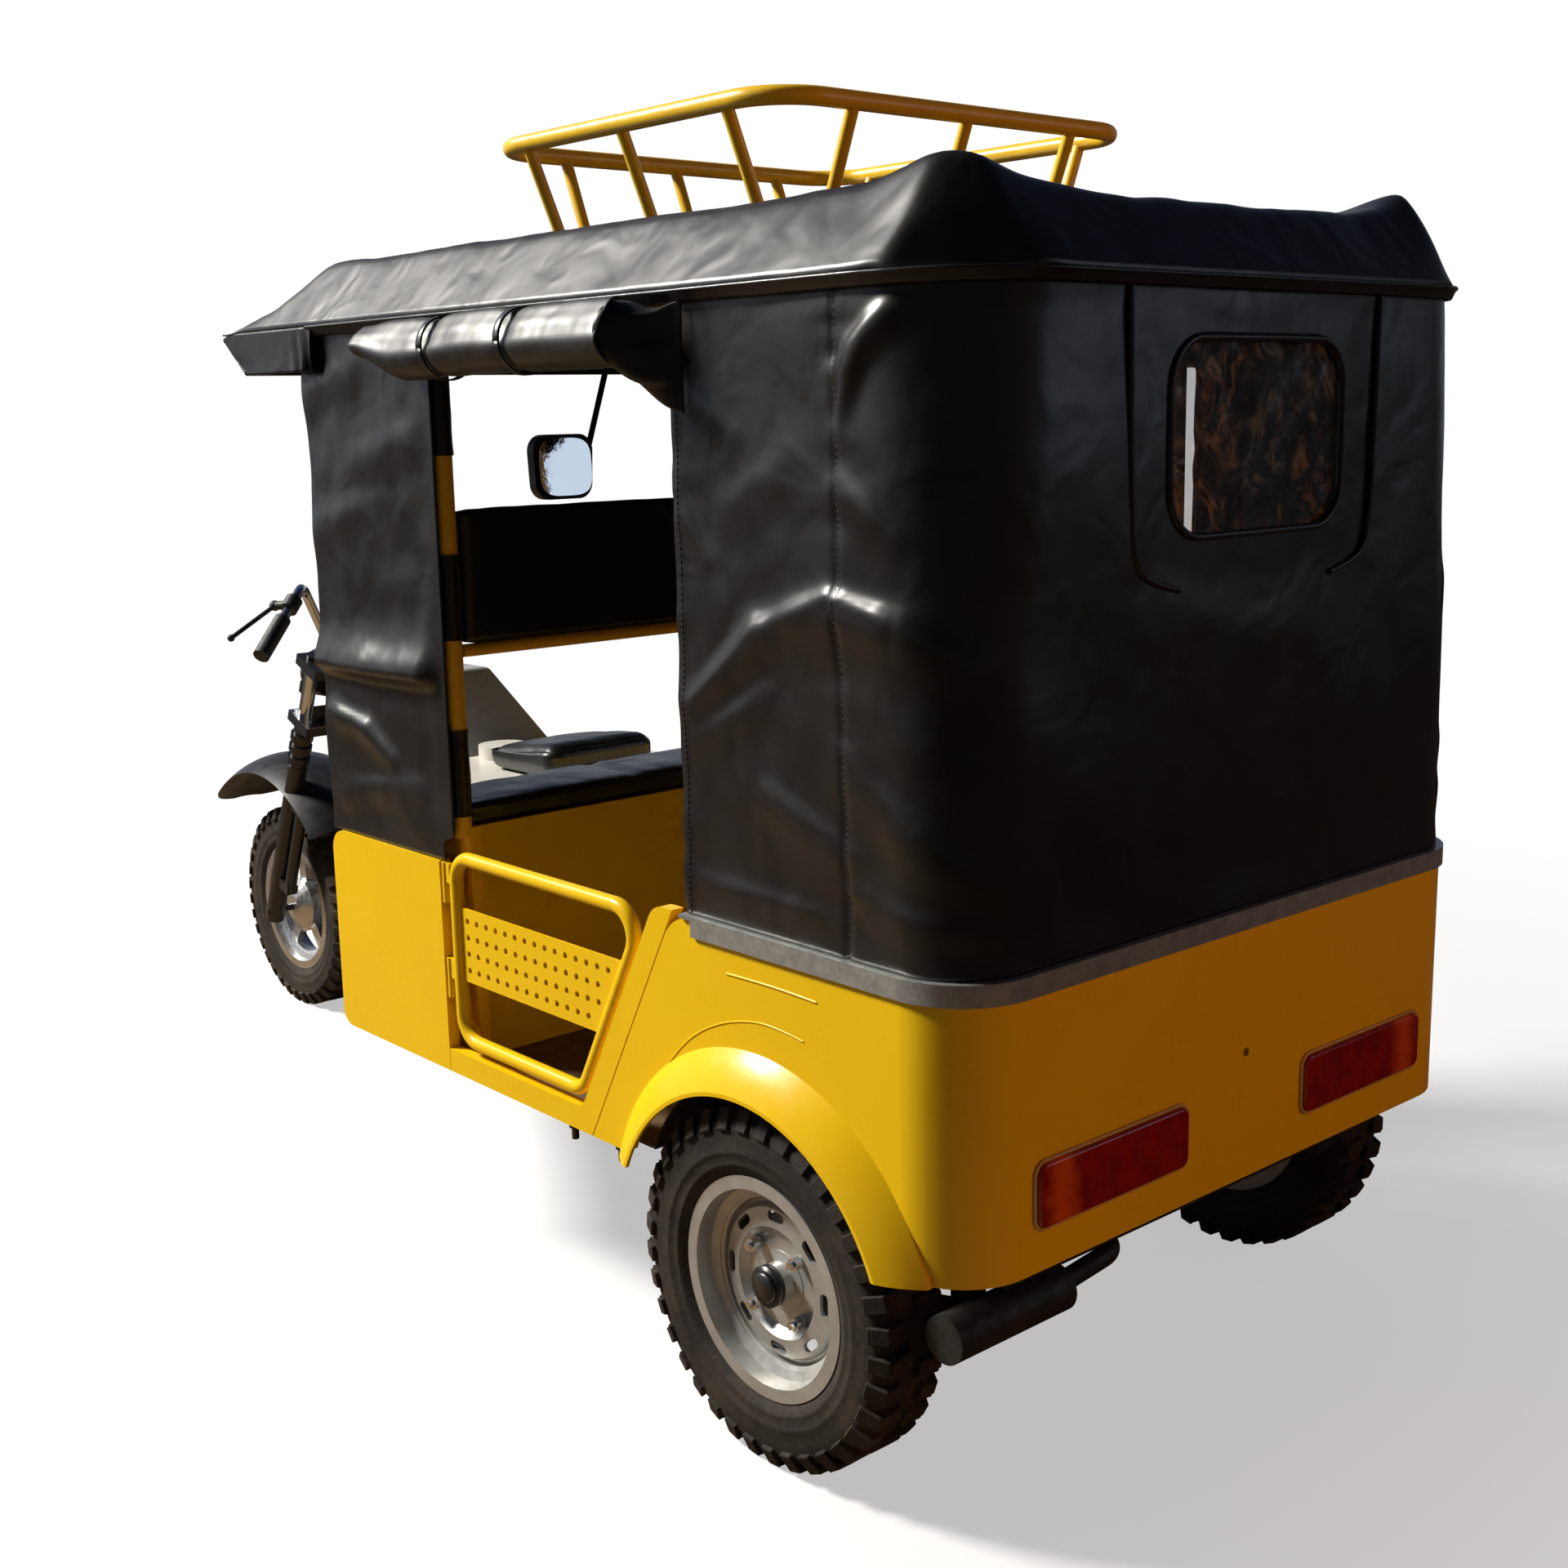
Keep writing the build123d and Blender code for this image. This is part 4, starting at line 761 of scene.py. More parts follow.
# %% [markdown]
# Rows of black thread run down the seams and the hemmed edges. Each stitch is a
# five-sided bar laid along the curtain's surface and standing a little proud of
# it; real ones are curved, but at this size only their row is seen.

# %% Stitches
THREAD_R, STITCH, STITCH_STEP, STITCH_LIFT = 0.0009, 0.0055, 9.0, 1.6
EDGE_S, STITCH_Z0, STITCH_RUN, STITCH_POINTS = 12.0, CURTAIN_Z0 + 4, 860, 80


def add_stitches(bm, path):
    """A row of thread along a line of points in the frame's metres."""
    spare = 0.0
    for a, b in zip(path, path[1:]):
        run = (b - a).length * 1000
        way = (b - a).normalized()
        turn = way.to_track_quat("Z", "Y").to_matrix().to_4x4()
        while spare < run:
            add_cylinder(bm, THREAD_R, STITCH, a + way * spare / 1000, 5, turn)
            spare += STITCH_STEP
        spare -= run


bm = bmesh.new()
levels = [STITCH_Z0 + k / (STITCH_POINTS - 1) * STITCH_RUN for k in range(STITCH_POINTS)]
for s in (SEAM_S, CURTAIN_RUN - SEAM_S, EDGE_S, CURTAIN_RUN - EDGE_S):
    add_stitches(bm, [curtain_place(s, z, STITCH_LIFT) for z in levels])
threads = piece("curtain_stitches", bm, THREAD)
print("stitches have", len(threads.data.polygons), "faces")

# %% [markdown]
# ## The roof
#
# The roof is one sheet drawn over bows. Side, rear and visor slopes meet the top
# through a soft minimum, which rounds the hips; the cloth sags between the bows
# and peaks over the two rear posts, with a flat facet at each rear corner.

# %% The roof's form
ROOF_X0, ROOF_X1, ROOF_HALF, ROOF_R = -411.0, 1495.0, 606.0, 196.0
SEAM_Z, ROOF_TOP = 1668.0, 1782.0
BOWS = (-252.0, 190.0, 700.0, 1195.0)
PEAK_X, PEAK_Y, PEAK_H, PEAK_W = -286.0, 494.0, 30.0, 70.0
SIDE_SLOPE, REAR_SLOPE, FACET_SLOPE, FACET = 1.27, 1.24, 1.05, 118.0
VISOR = ((1227.0, ROOF_TOP, 0.705), (1332.0, 1708.0, 0.293))  # x and z where a slope starts, and its fall
SOFT, SAG, DIP, ROOF_HOLD = 5.0, 11.0, 13.0, 50.0


def roof_top(x, y):
    """The cloth over the bows, before it meets the slopes."""
    off = abs(y)
    sag = 0.0
    for a, b in zip(BOWS, BOWS[1:]):
        if a < x < b:
            sag = math.sin(math.pi * (x - a) / (b - a)) ** 2
    top = ROOF_TOP - SAG * sag * (1 - (off / 640) ** 2)
    top -= DIP * bell(x + 320, 90) * (1 - smooth(180, 470, off))
    return top + 5 * wave(x * 0.006, y * 0.007, 2) * smooth(1250, 1100, x)


def visor_line(x, start, z, fall):
    return z - (x - start) * fall


def roof_height(x, y):
    off = abs(y)
    peak = PEAK_H * bell(math.hypot((x - PEAK_X) / 1.15, off - PEAK_Y), PEAK_W)
    side = SEAM_Z + (ROOF_HALF + 1 - off) * SIDE_SLOPE
    rear = SEAM_Z + (x - ROOF_X0 + 1) * REAR_SLOPE
    facet = SEAM_Z + (x - ROOF_X0 + ROOF_HALF - off - FACET) * FACET_SLOPE
    visor = max(visor_line(x, *line) for line in VISOR)
    slopes = (roof_top(x, y) + peak, side + 0.6 * peak, rear + 0.6 * peak, facet + 0.8 * peak, visor)
    low = min(slopes)
    soft = low - SOFT * math.log(sum(math.exp(-(h - low) / SOFT) for h in slopes))
    slack = smooth(0, ROOF_HOLD, ROOF_HALF - off) * smooth(0, ROOF_HOLD, x - ROOF_X0)
    slack *= smooth(ROOF_X1, 1440, x)
    folds = 2.6 * wave(x * 0.008 + y * 0.004, y * 0.012, 7) + 0.7 * wave(x * 0.024, y * 0.02, 9)
    hip = bell((x - ROOF_X0) * REAR_SLOPE - (ROOF_HALF - off) * SIDE_SLOPE, 60) * smooth(1790, 1690, low)
    folds += 3.0 * math.sin(x * 0.045 + off * 0.03) * hip
    return max(soft + slack * folds, SEAM_Z - 1)


print("roof", round(roof_height(0, 0)), "mm high over the rear axle")

# %% [markdown]
# The grid is laid over that form. Its plan is square, so near the seam each rear
# corner is pulled in to the curtain's rounded outline.

# %% Lay the roof
ROOF_THICK, VISOR_EXTRA = 0.003, 90


def round_corner(x, y, weight):
    """Pull a point of the square plan into the rounded one."""
    cx, cy = ROOF_X0 + ROOF_R, ROOF_HALF - ROOF_R
    if x > cx or abs(y) < cy:
        return x, y
    a, b = (cx - x) / ROOF_R, (abs(y) - cy) / ROOF_R
    dx = a * (1 - math.sqrt(1 - b * b / 2)) * ROOF_R
    dy = b * (1 - math.sqrt(1 - a * a / 2)) * ROOF_R
    return x + weight * dx, y - math.copysign(weight * dy, y)


def roof_point(u, v):
    x, y = ROOF_X0 + u * (ROOF_X1 - ROOF_X0), (2 * v - 1) * ROOF_HALF
    z = roof_height(x, y)
    x, y = round_corner(x, y, 1 - smooth(SEAM_Z + 8, ROOF_TOP + 4, z))
    return at(x, y, z)


roof = sew("roof_cloth", cloth_grid(240, 156, roof_point))
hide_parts("roof_canopy")
thicken(roof, ROOF_THICK)
print("roof", round(cloth_area(roof), 3), "m2")

# %% [markdown]
# A narrow hem hangs from the seam all round and is drawn in over the curtain,
# with a welt on the seam itself.

# %% Hem and welt
EDGE = (ROOF_HALF, ROOF_X0, 1165.0, ROOF_R)
EDGE_RUN = u_run(*EDGE)
HEM_DROP, HEM_IN, HEM_WAVE = 17, 9.0, 2.4


def hem_point(u, v):
    x, y, nx, ny = u_line(u * EDGE_RUN, *EDGE)
    inward = (HEM_IN + HEM_WAVE * wave(x * 0.012, y * 0.012, 3)) * v - 1.0
    return at(x - nx * inward, y - ny * inward, SEAM_Z + 1 - HEM_DROP * v)


sew("roof_hem", cloth_grid(460, 4, hem_point), ROOF_THICK)
ring = [u_line(k / 120 * EDGE_RUN, *EDGE) for k in range(121)]
welt("roof_welt", [at(x + nx, y + ny, SEAM_Z - 1) for x, y, nx, ny in ring], 0.0030)
print("hem runs", round(EDGE_RUN), "mm")

# %% [markdown]
# The visor has deeper valances at its sides and front. Where the side valance
# meets the rolled curtain the cloth is gathered, so the folds run fastest there.

# %% Visor
VALANCE_X, VALANCE_LONG, VALANCE_LOW = 1150, 345, 1591
CUT_X, CUT_RISE = 1414, 0.80
GATHER_X, GATHER_W, GATHER, VALANCE_WAVE = 1168, 44, 8, 5
FRONT_X, FRONT_LEAN, FRONT_Z, FRONT_DROP = 1493, 80, 1661, 69


def valance(side):
    def point(u, v):
        x = VALANCE_X + u * VALANCE_LONG
        top = min(SEAM_Z, visor_line(x, *VISOR[1]))
        low = VALANCE_LOW + max(x - CUT_X, 0.0) * CUT_RISE
        z = top + v * (low - top)
        gather = GATHER * math.sin(x * 0.17 + 2 * v) * bell(x - GATHER_X, GATHER_W)
        gather += VALANCE_WAVE * wave(x * 0.012, z * 0.014, 6) * v
        return at(x, side * (ROOF_HALF - 2 + gather * v), z)
    return point


def front_valance(u, v):
    y = (2 * u - 1) * (ROOF_HALF - 2)
    return at(FRONT_X - FRONT_LEAN * v + 4 * wave(y * 0.01, v * 2.0, 8) * v, y, FRONT_Z - FRONT_DROP * v)


for side, label in SIDES:
    sew(f"visor_valance_{label}", cloth_grid(90, 16, valance(side)), ROOF_THICK)
visor = sew("visor_front", cloth_grid(120, 12, front_valance), ROOF_THICK)
print("visor front", round(cloth_area(visor), 3), "m2")

# %% [markdown]
# ## Front side curtains
#
# These hang beside the driver and are laced to the middle posts, which show
# yellow between the wraps. The same two-sided folds are used. The first one runs
# right across and is wide above its line, which makes a broad bright shelf.

# %% Front curtains
SIDE_Z0, SIDE_Z1 = 763.0, 1664.0
SIDE_RIDGES = [  # x and z of each end, height, width above, width below
    (1225, 1076, 790, 1080, 34.0, 47.0, 16.0),
    (1180, 990, 1060, 972, 14.0, 14.0, 34.0), (1060, 972, 985, 925, 11.0, 14.0, 34.0),
    (1030, 1445, 830, 1490, 6.0, 24.0, 44.0), (1200, 1560, 1020, 1600, 7.0, 22.0, 44.0),
    (1150, 850, 900, 880, 6.0, 20.0, 40.0), (1190, 1330, 960, 1370, 6.0, 26.0, 46.0),
]
SIDE_SWELL = [(5, 0.006, 0.005, 3), (2.2, 0.018, 0.015, 5)]
SIDE_Y, SIDE_REAR, SIDE_FRONT, SIDE_LEAN = 589, 788, 1213, 8
NOTCH, NOTCH_Z0, NOTCH_Z1 = 32, 795, 812
LACE_X0, LACE_X1, SIDE_HOLD = 798, 850, 50
SIDE_DEEPEST, SIDE_HIGHEST = -9.0, 40.0


def side_cloth(side):
    def point(u, v):
        z = SIDE_Z0 + v * (SIDE_Z1 - SIDE_Z0)
        rear = SIDE_REAR + NOTCH * (1 - smooth(NOTCH_Z0, NOTCH_Z1, z))
        front = SIDE_FRONT + SIDE_LEAN * v + 6 * wave(1, z * 0.008, 2)
        x = rear + u * (front - rear)
        hold = smooth(SIDE_Z0, SIDE_Z0 + SIDE_HOLD, z) * smooth(LACE_X0, LACE_X1, x)
        height = swell(x, z, SIDE_SWELL) + sum(fold(x, z, ridge) for ridge in SIDE_RIDGES)
        return at(x, side * (SIDE_Y + max(SIDE_DEEPEST, min(height * hold, SIDE_HIGHEST))), z)
    return point


for side, label in SIDES:
    sheet = sew(f"front_curtain_{label}", cloth_grid(76, 156, side_cloth(side)))
    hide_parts("front_curtains")
    thicken(sheet, CURTAIN_THICK)
    print(sheet.name, round(cloth_area(sheet), 3), "m2")

# %% [markdown]
# Strips of vinyl are wrapped round the middle posts where the curtain is laced.
# Each is a grid rolled into a sleeve, with a thicker turn at both ends.

# %% Post wraps
POST_X, POST_Y, WRAP_R, WRAP_TURN = 799.0, 566.0, 17.6, 1.2
WRAPS = [(842.0, 990.0), (1142.0, 1284.0), (1446.0, 1634.0)]


def wrap_point(side, z0, z1):
    def point(u, v):
        a = 2 * math.pi * u
        c, s, z = math.cos(a), math.sin(a), z0 + v * (z1 - z0)
        r = WRAP_R + 0.8 * wave(c * 1.5, s * 1.5, z * 0.03) + WRAP_TURN * (bell(v, 0.05) + bell(1 - v, 0.05))
        return at(POST_X + r * c, side * (POST_Y + r * s), z)
    return point


for side, label in SIDES:
    for k, (z0, z1) in enumerate(WRAPS):
        sew(f"post_wrap_{label}_{k}", cloth_grid(24, 30, wrap_point(side, z0, z1)))
print(2 * len(WRAPS), "wraps")

# %% [markdown]
# ## Rolled door curtains
#
# Each is a sheet wound into a spiral, pinched where two straps hold it up, loose at
# the rear end and crushed flat at the front. A grid is rolled up by a function, so
# its turns are one real sheet, and a flat is pressed on the side that faces out.

# %% The roll's spiral
ROLL_X0, ROLL_X1, ROLL_R, ROLL_Y, ROLL_Z = 190.0, 866.0, 49.0, 643.0, 1613.0
STRAPS = (430.0, 645.0)
TURNS, START_TURN, FLAT_TURN, FLAT_SHARE = 3.1, 0.9, math.radians(33), 0.16
CORE_R, PINCH, PINCH_W, ROLL_THICK = 11, 0.13, 22, 0.0024
CRUSH_LONG, CRUSH_SHARE, CRUSH_RISE, LOOSE, LOOSE_LONG = 110, 0.45, 12, 6, 60


def roll_radius(x):
    return ROLL_R * (1 - sum(PINCH * bell(x - s, PINCH_W) for s in STRAPS))


def roll_sway(x):
    return 5 * wave(x * 0.005, 1, 2)


def roll(side):
    def point(u, v):
        x = ROLL_X0 + u * (ROLL_X1 - ROLL_X0)
        a = 2 * math.pi * TURNS * v + START_TURN
        c, s = math.cos(a), math.sin(a)
        r = CORE_R + (roll_radius(x) - CORE_R) * v ** 0.8
        r += (1.8 * wave(x * 0.016, c * 1.1, s * 1.1) + 0.8 * wave(x * 0.05, a, 3)) * v
        face = max(0.0, math.cos(a - FLAT_TURN))
        r *= 1 - FLAT_SHARE * v * smooth(0.72, 1.0, face)
        crush = smooth(ROLL_X1 - CRUSH_LONG, ROLL_X1, x)
        shift = LOOSE * (1 - v) * smooth(ROLL_X0 + LOOSE_LONG, ROLL_X0, x)
        lift = roll_sway(x) + CRUSH_RISE * crush
        return at(x + shift * s, side * (ROLL_Y + r * c), ROLL_Z + r * s * (1 - CRUSH_SHARE * crush) + lift)
    return point


print("a roll has", TURNS, "turns")

# %% [markdown]
# Straps go round the pinches. Behind each roll a slack drape runs back to the rear
# curtain's top corner: its near edge follows the roll's end, its far edge hangs
# straight, and the cloth between sags in folds.

# %% Straps and drapes
STRAP_W, STRAP_SLANT, STRAP_GAP, STRAP_THICK = 15, 3, 5.0, 0.0025
DRAPE_R, DRAPE_START, DRAPE_TURN, DRAPE_SAG = 44, 100, 190, 10
CORNER_X, CORNER_Y, CORNER_Z, CORNER_DROP = 118.0, 596.0, 1655.0, 150


def strap(side, x):
    def point(u, v):
        a = 2 * math.pi * u
        r = roll_radius(x) + STRAP_GAP
        return at(x + (v - 0.5) * STRAP_W + STRAP_SLANT * math.sin(a), side * (ROLL_Y + r * math.cos(a)),
                  ROLL_Z + r * math.sin(a) + roll_sway(x))
    return point


def drape(side):
    def point(u, v):
        a = math.radians(DRAPE_START - DRAPE_TURN * v)
        near = (ROLL_X0 + 8, ROLL_Y + DRAPE_R * math.cos(a),
                ROLL_Z + DRAPE_R * math.sin(a) + roll_sway(ROLL_X0))
        far = (CORNER_X, CORNER_Y, CORNER_Z - CORNER_DROP * v)
        t = u ** 0.8
        sag = DRAPE_SAG * math.sin(math.pi * u) * math.sin(9 * v + 3 * u)
        x, y, z = (n + t * (f - n) for n, f in zip(near, far))
        return at(x, side * (y + 0.4 * sag), z - abs(sag))
    return point


for side, label in SIDES:
    sheet = sew(f"curtain_roll_{label}", cloth_grid(100, 160, roll(side)), material=SHEEN_ROLL_VINYL)
    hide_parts("curtain_rolls")
    thicken(sheet, ROLL_THICK)
    for k, x in enumerate(STRAPS):
        sew(f"roll_strap_{label}_{k}", cloth_grid(40, 3, strap(side, x)), STRAP_THICK, SEAT)
    sew(f"roll_drape_{label}", cloth_grid(24, 40, drape(side)), ROLL_THICK)
    print(sheet.name, round(cloth_area(sheet), 3), "m2")

# %% [markdown]
# ## Seats
#
# A pad starts as a finely divided block. Its corners are rounded, its top is
# crowned, its sides pull in and the cover wrinkles a little. Foam this firm keeps
# its form, so it is shaped directly and not simulated.

# %% Pads
PAD_CUTS, WRINKLE, WRINKLE_SCALE, CHANNEL, CHANNEL_W = 46, 0.0022, 16, 0.007, 0.018


def pad(name, node, radius, crown, pull, seed, channels=(), fall=0.0):
    low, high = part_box(node)
    centre, half = (low + high) / 2, (high - low) / 2
    inner = Vector([max(half[k] - radius, 0.0) for k in range(3)])
    bm = bmesh.new()
    bmesh.ops.create_cube(bm, size=2.0)
    bmesh.ops.subdivide_edges(bm, edges=bm.edges[:], cuts=PAD_CUTS, use_grid_fill=True)
    for v in bm.verts:
        q = v.co.copy()
        spot = Vector([q[k] * half[k] for k in range(3)])
        core = Vector([max(-inner[k], min(spot[k], inner[k])) for k in range(3)])
        way = spot - core
        if way.length > 1e-9:
            spot = core + way.normalized() * min(radius, max(abs(c) for c in way))
        top = max(q.z, 0.0)
        spot.z += top * (crown * ((1 - q.x ** 4) * (1 - q.y ** 4) - 1) - fall * (q.x + 1) / 2)
        tuck = 1 - pull * (1 - q.z ** 2) * 0.5
        spot.x, spot.y = spot.x * tuck, spot.y * tuck
        spot.z += WRINKLE * wave(*(spot * WRINKLE_SCALE), seed) * top
        spot.z -= sum(CHANNEL * bell(q.y - c, CHANNEL_W) for c in channels) * top
        v.co = centre + spot
    obj = piece(name, bm, SEAT)
    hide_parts(node)
    return obj


pads = [pad("saddle_pad", "driver_saddle", 0.034, 0.010, 0.03, 1, fall=0.030),
        pad("box_pad", "front_box_pad", 0.014, 0.007, 0.01, 2, channels=(-0.33, 0.33)),
        pad("band_pad", "front_backrest", 0.011, 0.0, 0.01, 3),
        pad("bench_pad", "rear_bench_cushion", 0.030, 0.016, 0.02, 4, channels=(-0.33, 0.33)),
        pad("back_pad", "rear_backrest", 0.028, 0.006, 0.02, 5)]
print("pads:", ", ".join(obj.name for obj in pads))

# %% [markdown]
# ## Tyres
#
# The tread has coarse lugs for loose roads. Each lug is a block across the crown
# and a tab leaned down over the shoulder. They could be cut out of the rubber, but
# blocks set on a smooth carcass are simpler and take few faces.

# %% One lug
LUG_REACH, LUG_SKEW, LUG_W, LUG_ROOT, LUG_EDGE = 0.80, 0.16, 0.56, 0.0015, 0.0016
TAB_LEAN, TAB_OUT, TAB_DROP, TAB_W, TAB_LONG, TAB_THICK = 64, 0.885, 0.017, 0.94, 0.034, 0.009


def add_lug(bm, place, side, radius, half, inner, width, depth):
    """One lug: a block across the crown and a tab on the shoulder."""
    span = LUG_REACH * half - inner
    skew = Matrix.Rotation(side * LUG_SKEW, 4, "Z")
    crown = Matrix.Translation((0, side * (inner + span / 2), radius - depth / 2 - LUG_ROOT))
    add_box(bm, (width, span, depth + 2 * LUG_ROOT), place @ crown @ skew, LUG_EDGE)
    lean = Matrix.Rotation(math.radians(-TAB_LEAN * side), 4, "X")
    tab = Matrix.Translation((0, side * TAB_OUT * half, radius - TAB_DROP))
    add_box(bm, (width * TAB_W, TAB_LONG, TAB_THICK), place @ tab @ lean, LUG_EDGE)


print("a lug's tab leans", TAB_LEAN, "degrees")

# %% [markdown]
# The carcass is spun from its section, with two raised rings on the sidewall. The
# lugs of the two sides are half a step apart, and long and short ones take turns.

# %% Tyres
SHORT_LUG, LONG_LUG = 0.34, 0.12
SIDEWALL = [(0.1525, 0.70), (0.166, 0.715), (0.172, 0.84), (0.182, 0.91), (0.184, 0.935), (0.187, 0.92),
            (0.200, 0.965), (0.203, 0.990), (0.206, 0.970), (0.222, 0.985), (0.238, 0.96)]


def tyre(name, node, body, centre, radius, half, lugs, depth):
    """A tyre turned from radii and shares of its half width, with its lugs."""
    section = SIDEWALL + [(radius - 0.022, 0.91), (radius - depth - 0.003, 0.78), (radius - depth, 0.55),
                          (radius - depth, 0.0)]
    section += [(r, -y) for r, y in reversed(section[:-1])]
    bm = bmesh.new()
    ring = [bm.verts.new((centre.x, centre.y + y * half, centre.z + r)) for r, y in section]
    for pair in zip(ring, ring[1:] + ring[:1]):
        bm.edges.new(pair)
    spin_round(bm, centre, (0, 1, 0), 120)
    carcass = len(bm.faces)
    step = 2 * math.pi / lugs
    for k in range(2 * lugs):
        side = 1 if k % 2 else -1
        place = Matrix.Translation(centre) @ Matrix.Rotation(step * k / 2, 4, "Y")
        inner = (LONG_LUG if k % 4 < 2 else SHORT_LUG) * half
        add_lug(bm, place, side, radius, half, inner, LUG_W * step * radius, depth)
    obj = piece(name, bm, TYRE, body, smooth_shade=False)
    for face in obj.data.polygons[:carcass]:
        face.use_smooth = True
    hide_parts(node)
    print(name, len(obj.data.polygons), "faces")


LUGS = 36
REAR_R, REAR_HALF, REAR_LUG = 0.268, 0.062, 0.011
FRONT_R, FRONT_HALF, FRONT_LUG = 0.262, 0.048, 0.009
for side, label in SIDES:
    tyre(f"lug_tyre_{label}", f"rear_tyre_{label}", f"rear_{label}_wheel",
         Vector((AXLE_X, side * HUB_Y, WHEEL_Z)), REAR_R, REAR_HALF, LUGS, REAR_LUG)
front_low, front_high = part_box("front_tyre")
tyre("front_lug_tyre", "front_tyre", "front_wheel", (front_low + front_high) / 2, FRONT_R, FRONT_HALF, LUGS,
     FRONT_LUG)

# %% [markdown]
# ## Wheel hubs
#
# Each rear wheel has a black cap on its hub and four nuts on studs. Plain round
# and six-sided bars do for these, set along the axle; the cap is two of them, the
# outer one tapered.

# %% Hub caps and nuts
CAP_OUT, CAP_R, CAP_LONG, DISC_R, DISC_TOP, DISC_LONG = 0.041, 0.031, 0.012, 0.026, 0.020, 0.008
NUTS, NUT_CIRCLE, NUT_OUT, NUT_R, NUT_LONG, STUD_R, STUD_LONG = 4, 0.065, 0.0235, 0.0105, 0.011, 0.0058, 0.020
for side, label in SIDES:
    out = Matrix.Rotation(math.radians(-90 * side), 4, "X")
    proud = Vector((0, side * 0.003, 0))
    face = Vector((AXLE_X, side * (HUB_Y + CAP_OUT), WHEEL_Z))
    bm = bmesh.new()
    add_cylinder(bm, CAP_R, CAP_LONG, face - 2 * proud, 32, out)
    add_cylinder(bm, DISC_R, DISC_LONG, face + proud, 32, out, DISC_TOP)
    piece(f"hub_cap_{label}", bm, BLACK_PAINT, f"rear_{label}_wheel")
    bm = bmesh.new()
    for k in range(NUTS):
        a = math.radians(90 * k + 45)
        spot = Vector((AXLE_X + NUT_CIRCLE * math.cos(a), side * (HUB_Y + NUT_OUT),
                       WHEEL_Z + NUT_CIRCLE * math.sin(a)))
        add_cylinder(bm, NUT_R, NUT_LONG, spot, 6, out)
        add_cylinder(bm, STUD_R, STUD_LONG, spot + proud, 12, out)
    piece(f"wheel_nuts_{label}", bm, CHROME, f"rear_{label}_wheel", smooth_shade=False)
print("hub caps:", len(SIDES), "nuts:", NUTS * len(SIDES))

# %% [markdown]
# ## Lamps, mirror and small fittings
#
# A thin pale edge of paint shows round each lamp, drawn as a closed tube. Two bolt
# ends hang under each sill. Two lines are pressed into the skin over each wheel
# arch; they are so shallow that a fine tube of the same paint is enough.

# %% Lamp edges, bolts and pressed lines
LAMP_Y, LAMP_HALF, LAMP_Z, LAMP_TALL, LAMP_R, LAMP_X = 301.5, 161.0, 491.0, 95.0, 19, -400.0
BOLTS, BOLT_Y, HEAD_Z, BOLT_Z = (352.0, 479.0), 580, 380, 371
SKIN_Y = 594.6
PRESSED = {
    "swage": (0.0016, [(201, 560), (164, 601), (101, 640), (36, 663), (-35, 673), (-100, 664)]),
    "crease": (0.0020, [(61, 726), (0, 728), (-66, 728), (-128, 726)]),
}
for side, label in SIDES:
    line = round_rect(LAMP_HALF, LAMP_Z, LAMP_TALL, LAMP_R)
    border = [at(LAMP_X, side * (LAMP_Y + y), z) for y, z in line]
    tube(f"lamp_border_{label}", border, 0.0028, BORDER, closed=True)
    bm = bmesh.new()
    for x in BOLTS:
        add_cylinder(bm, 0.011, 0.008, at(x, side * BOLT_Y, HEAD_Z), 6)
        add_cylinder(bm, 0.006, 0.030, at(x, side * BOLT_Y, BOLT_Z), 12)
    piece(f"sill_bolts_{label}", bm, BLACK_PAINT, smooth_shade=False)
for side, label in SIDES:
    for name, (radius, line) in PRESSED.items():
        tube(f"{name}_{label}", [at(x, side * SKIN_Y, z) for x, z in line], radius, YELLOW)
print(2 * len(PRESSED), "pressed lines,", 2 * len(BOLTS), "bolts")

# %% [markdown]
# The mirror's glass is a disc squared off towards a rounded rectangle: raising the
# sine and cosine to a power below 1 does that. It is tipped up a little, so it
# shows the sky.

# %% Mirror glass
MIRROR_AT, MIRROR_HALF_W, MIRROR_HALF_H = at(1178.0, 60.0, 1408.0), 0.062, 0.056
MIRROR_TIP, SQUARENESS, GLASS_THICK = math.radians(3), 0.55, 0.002
bm = bmesh.new()
bmesh.ops.create_circle(bm, cap_ends=True, segments=48, radius=1.0)
for v in bm.verts:
    c, s = (math.copysign(abs(value) ** SQUARENESS, value) for value in v.co.xy)
    v.co = Vector((0.0, MIRROR_HALF_W * c, MIRROR_HALF_H * s))
bmesh.ops.rotate(bm, verts=bm.verts, cent=(0, 0, 0), matrix=Matrix.Rotation(MIRROR_TIP, 3, "Y"))
bmesh.ops.translate(bm, verts=bm.verts, vec=MIRROR_AT)
thicken(piece("mirror_glass", bm, MIRROR_GLASS, smooth_shade=False), GLASS_THICK)
print("mirror glass", round(2000 * MIRROR_HALF_W), "by", round(2000 * MIRROR_HALF_H), "mm")

# %% [markdown]
# The headlamp's face is a shallow glass dome in a chrome ring. Both are sections
# spun about the lamp's axis, which suits anything round.

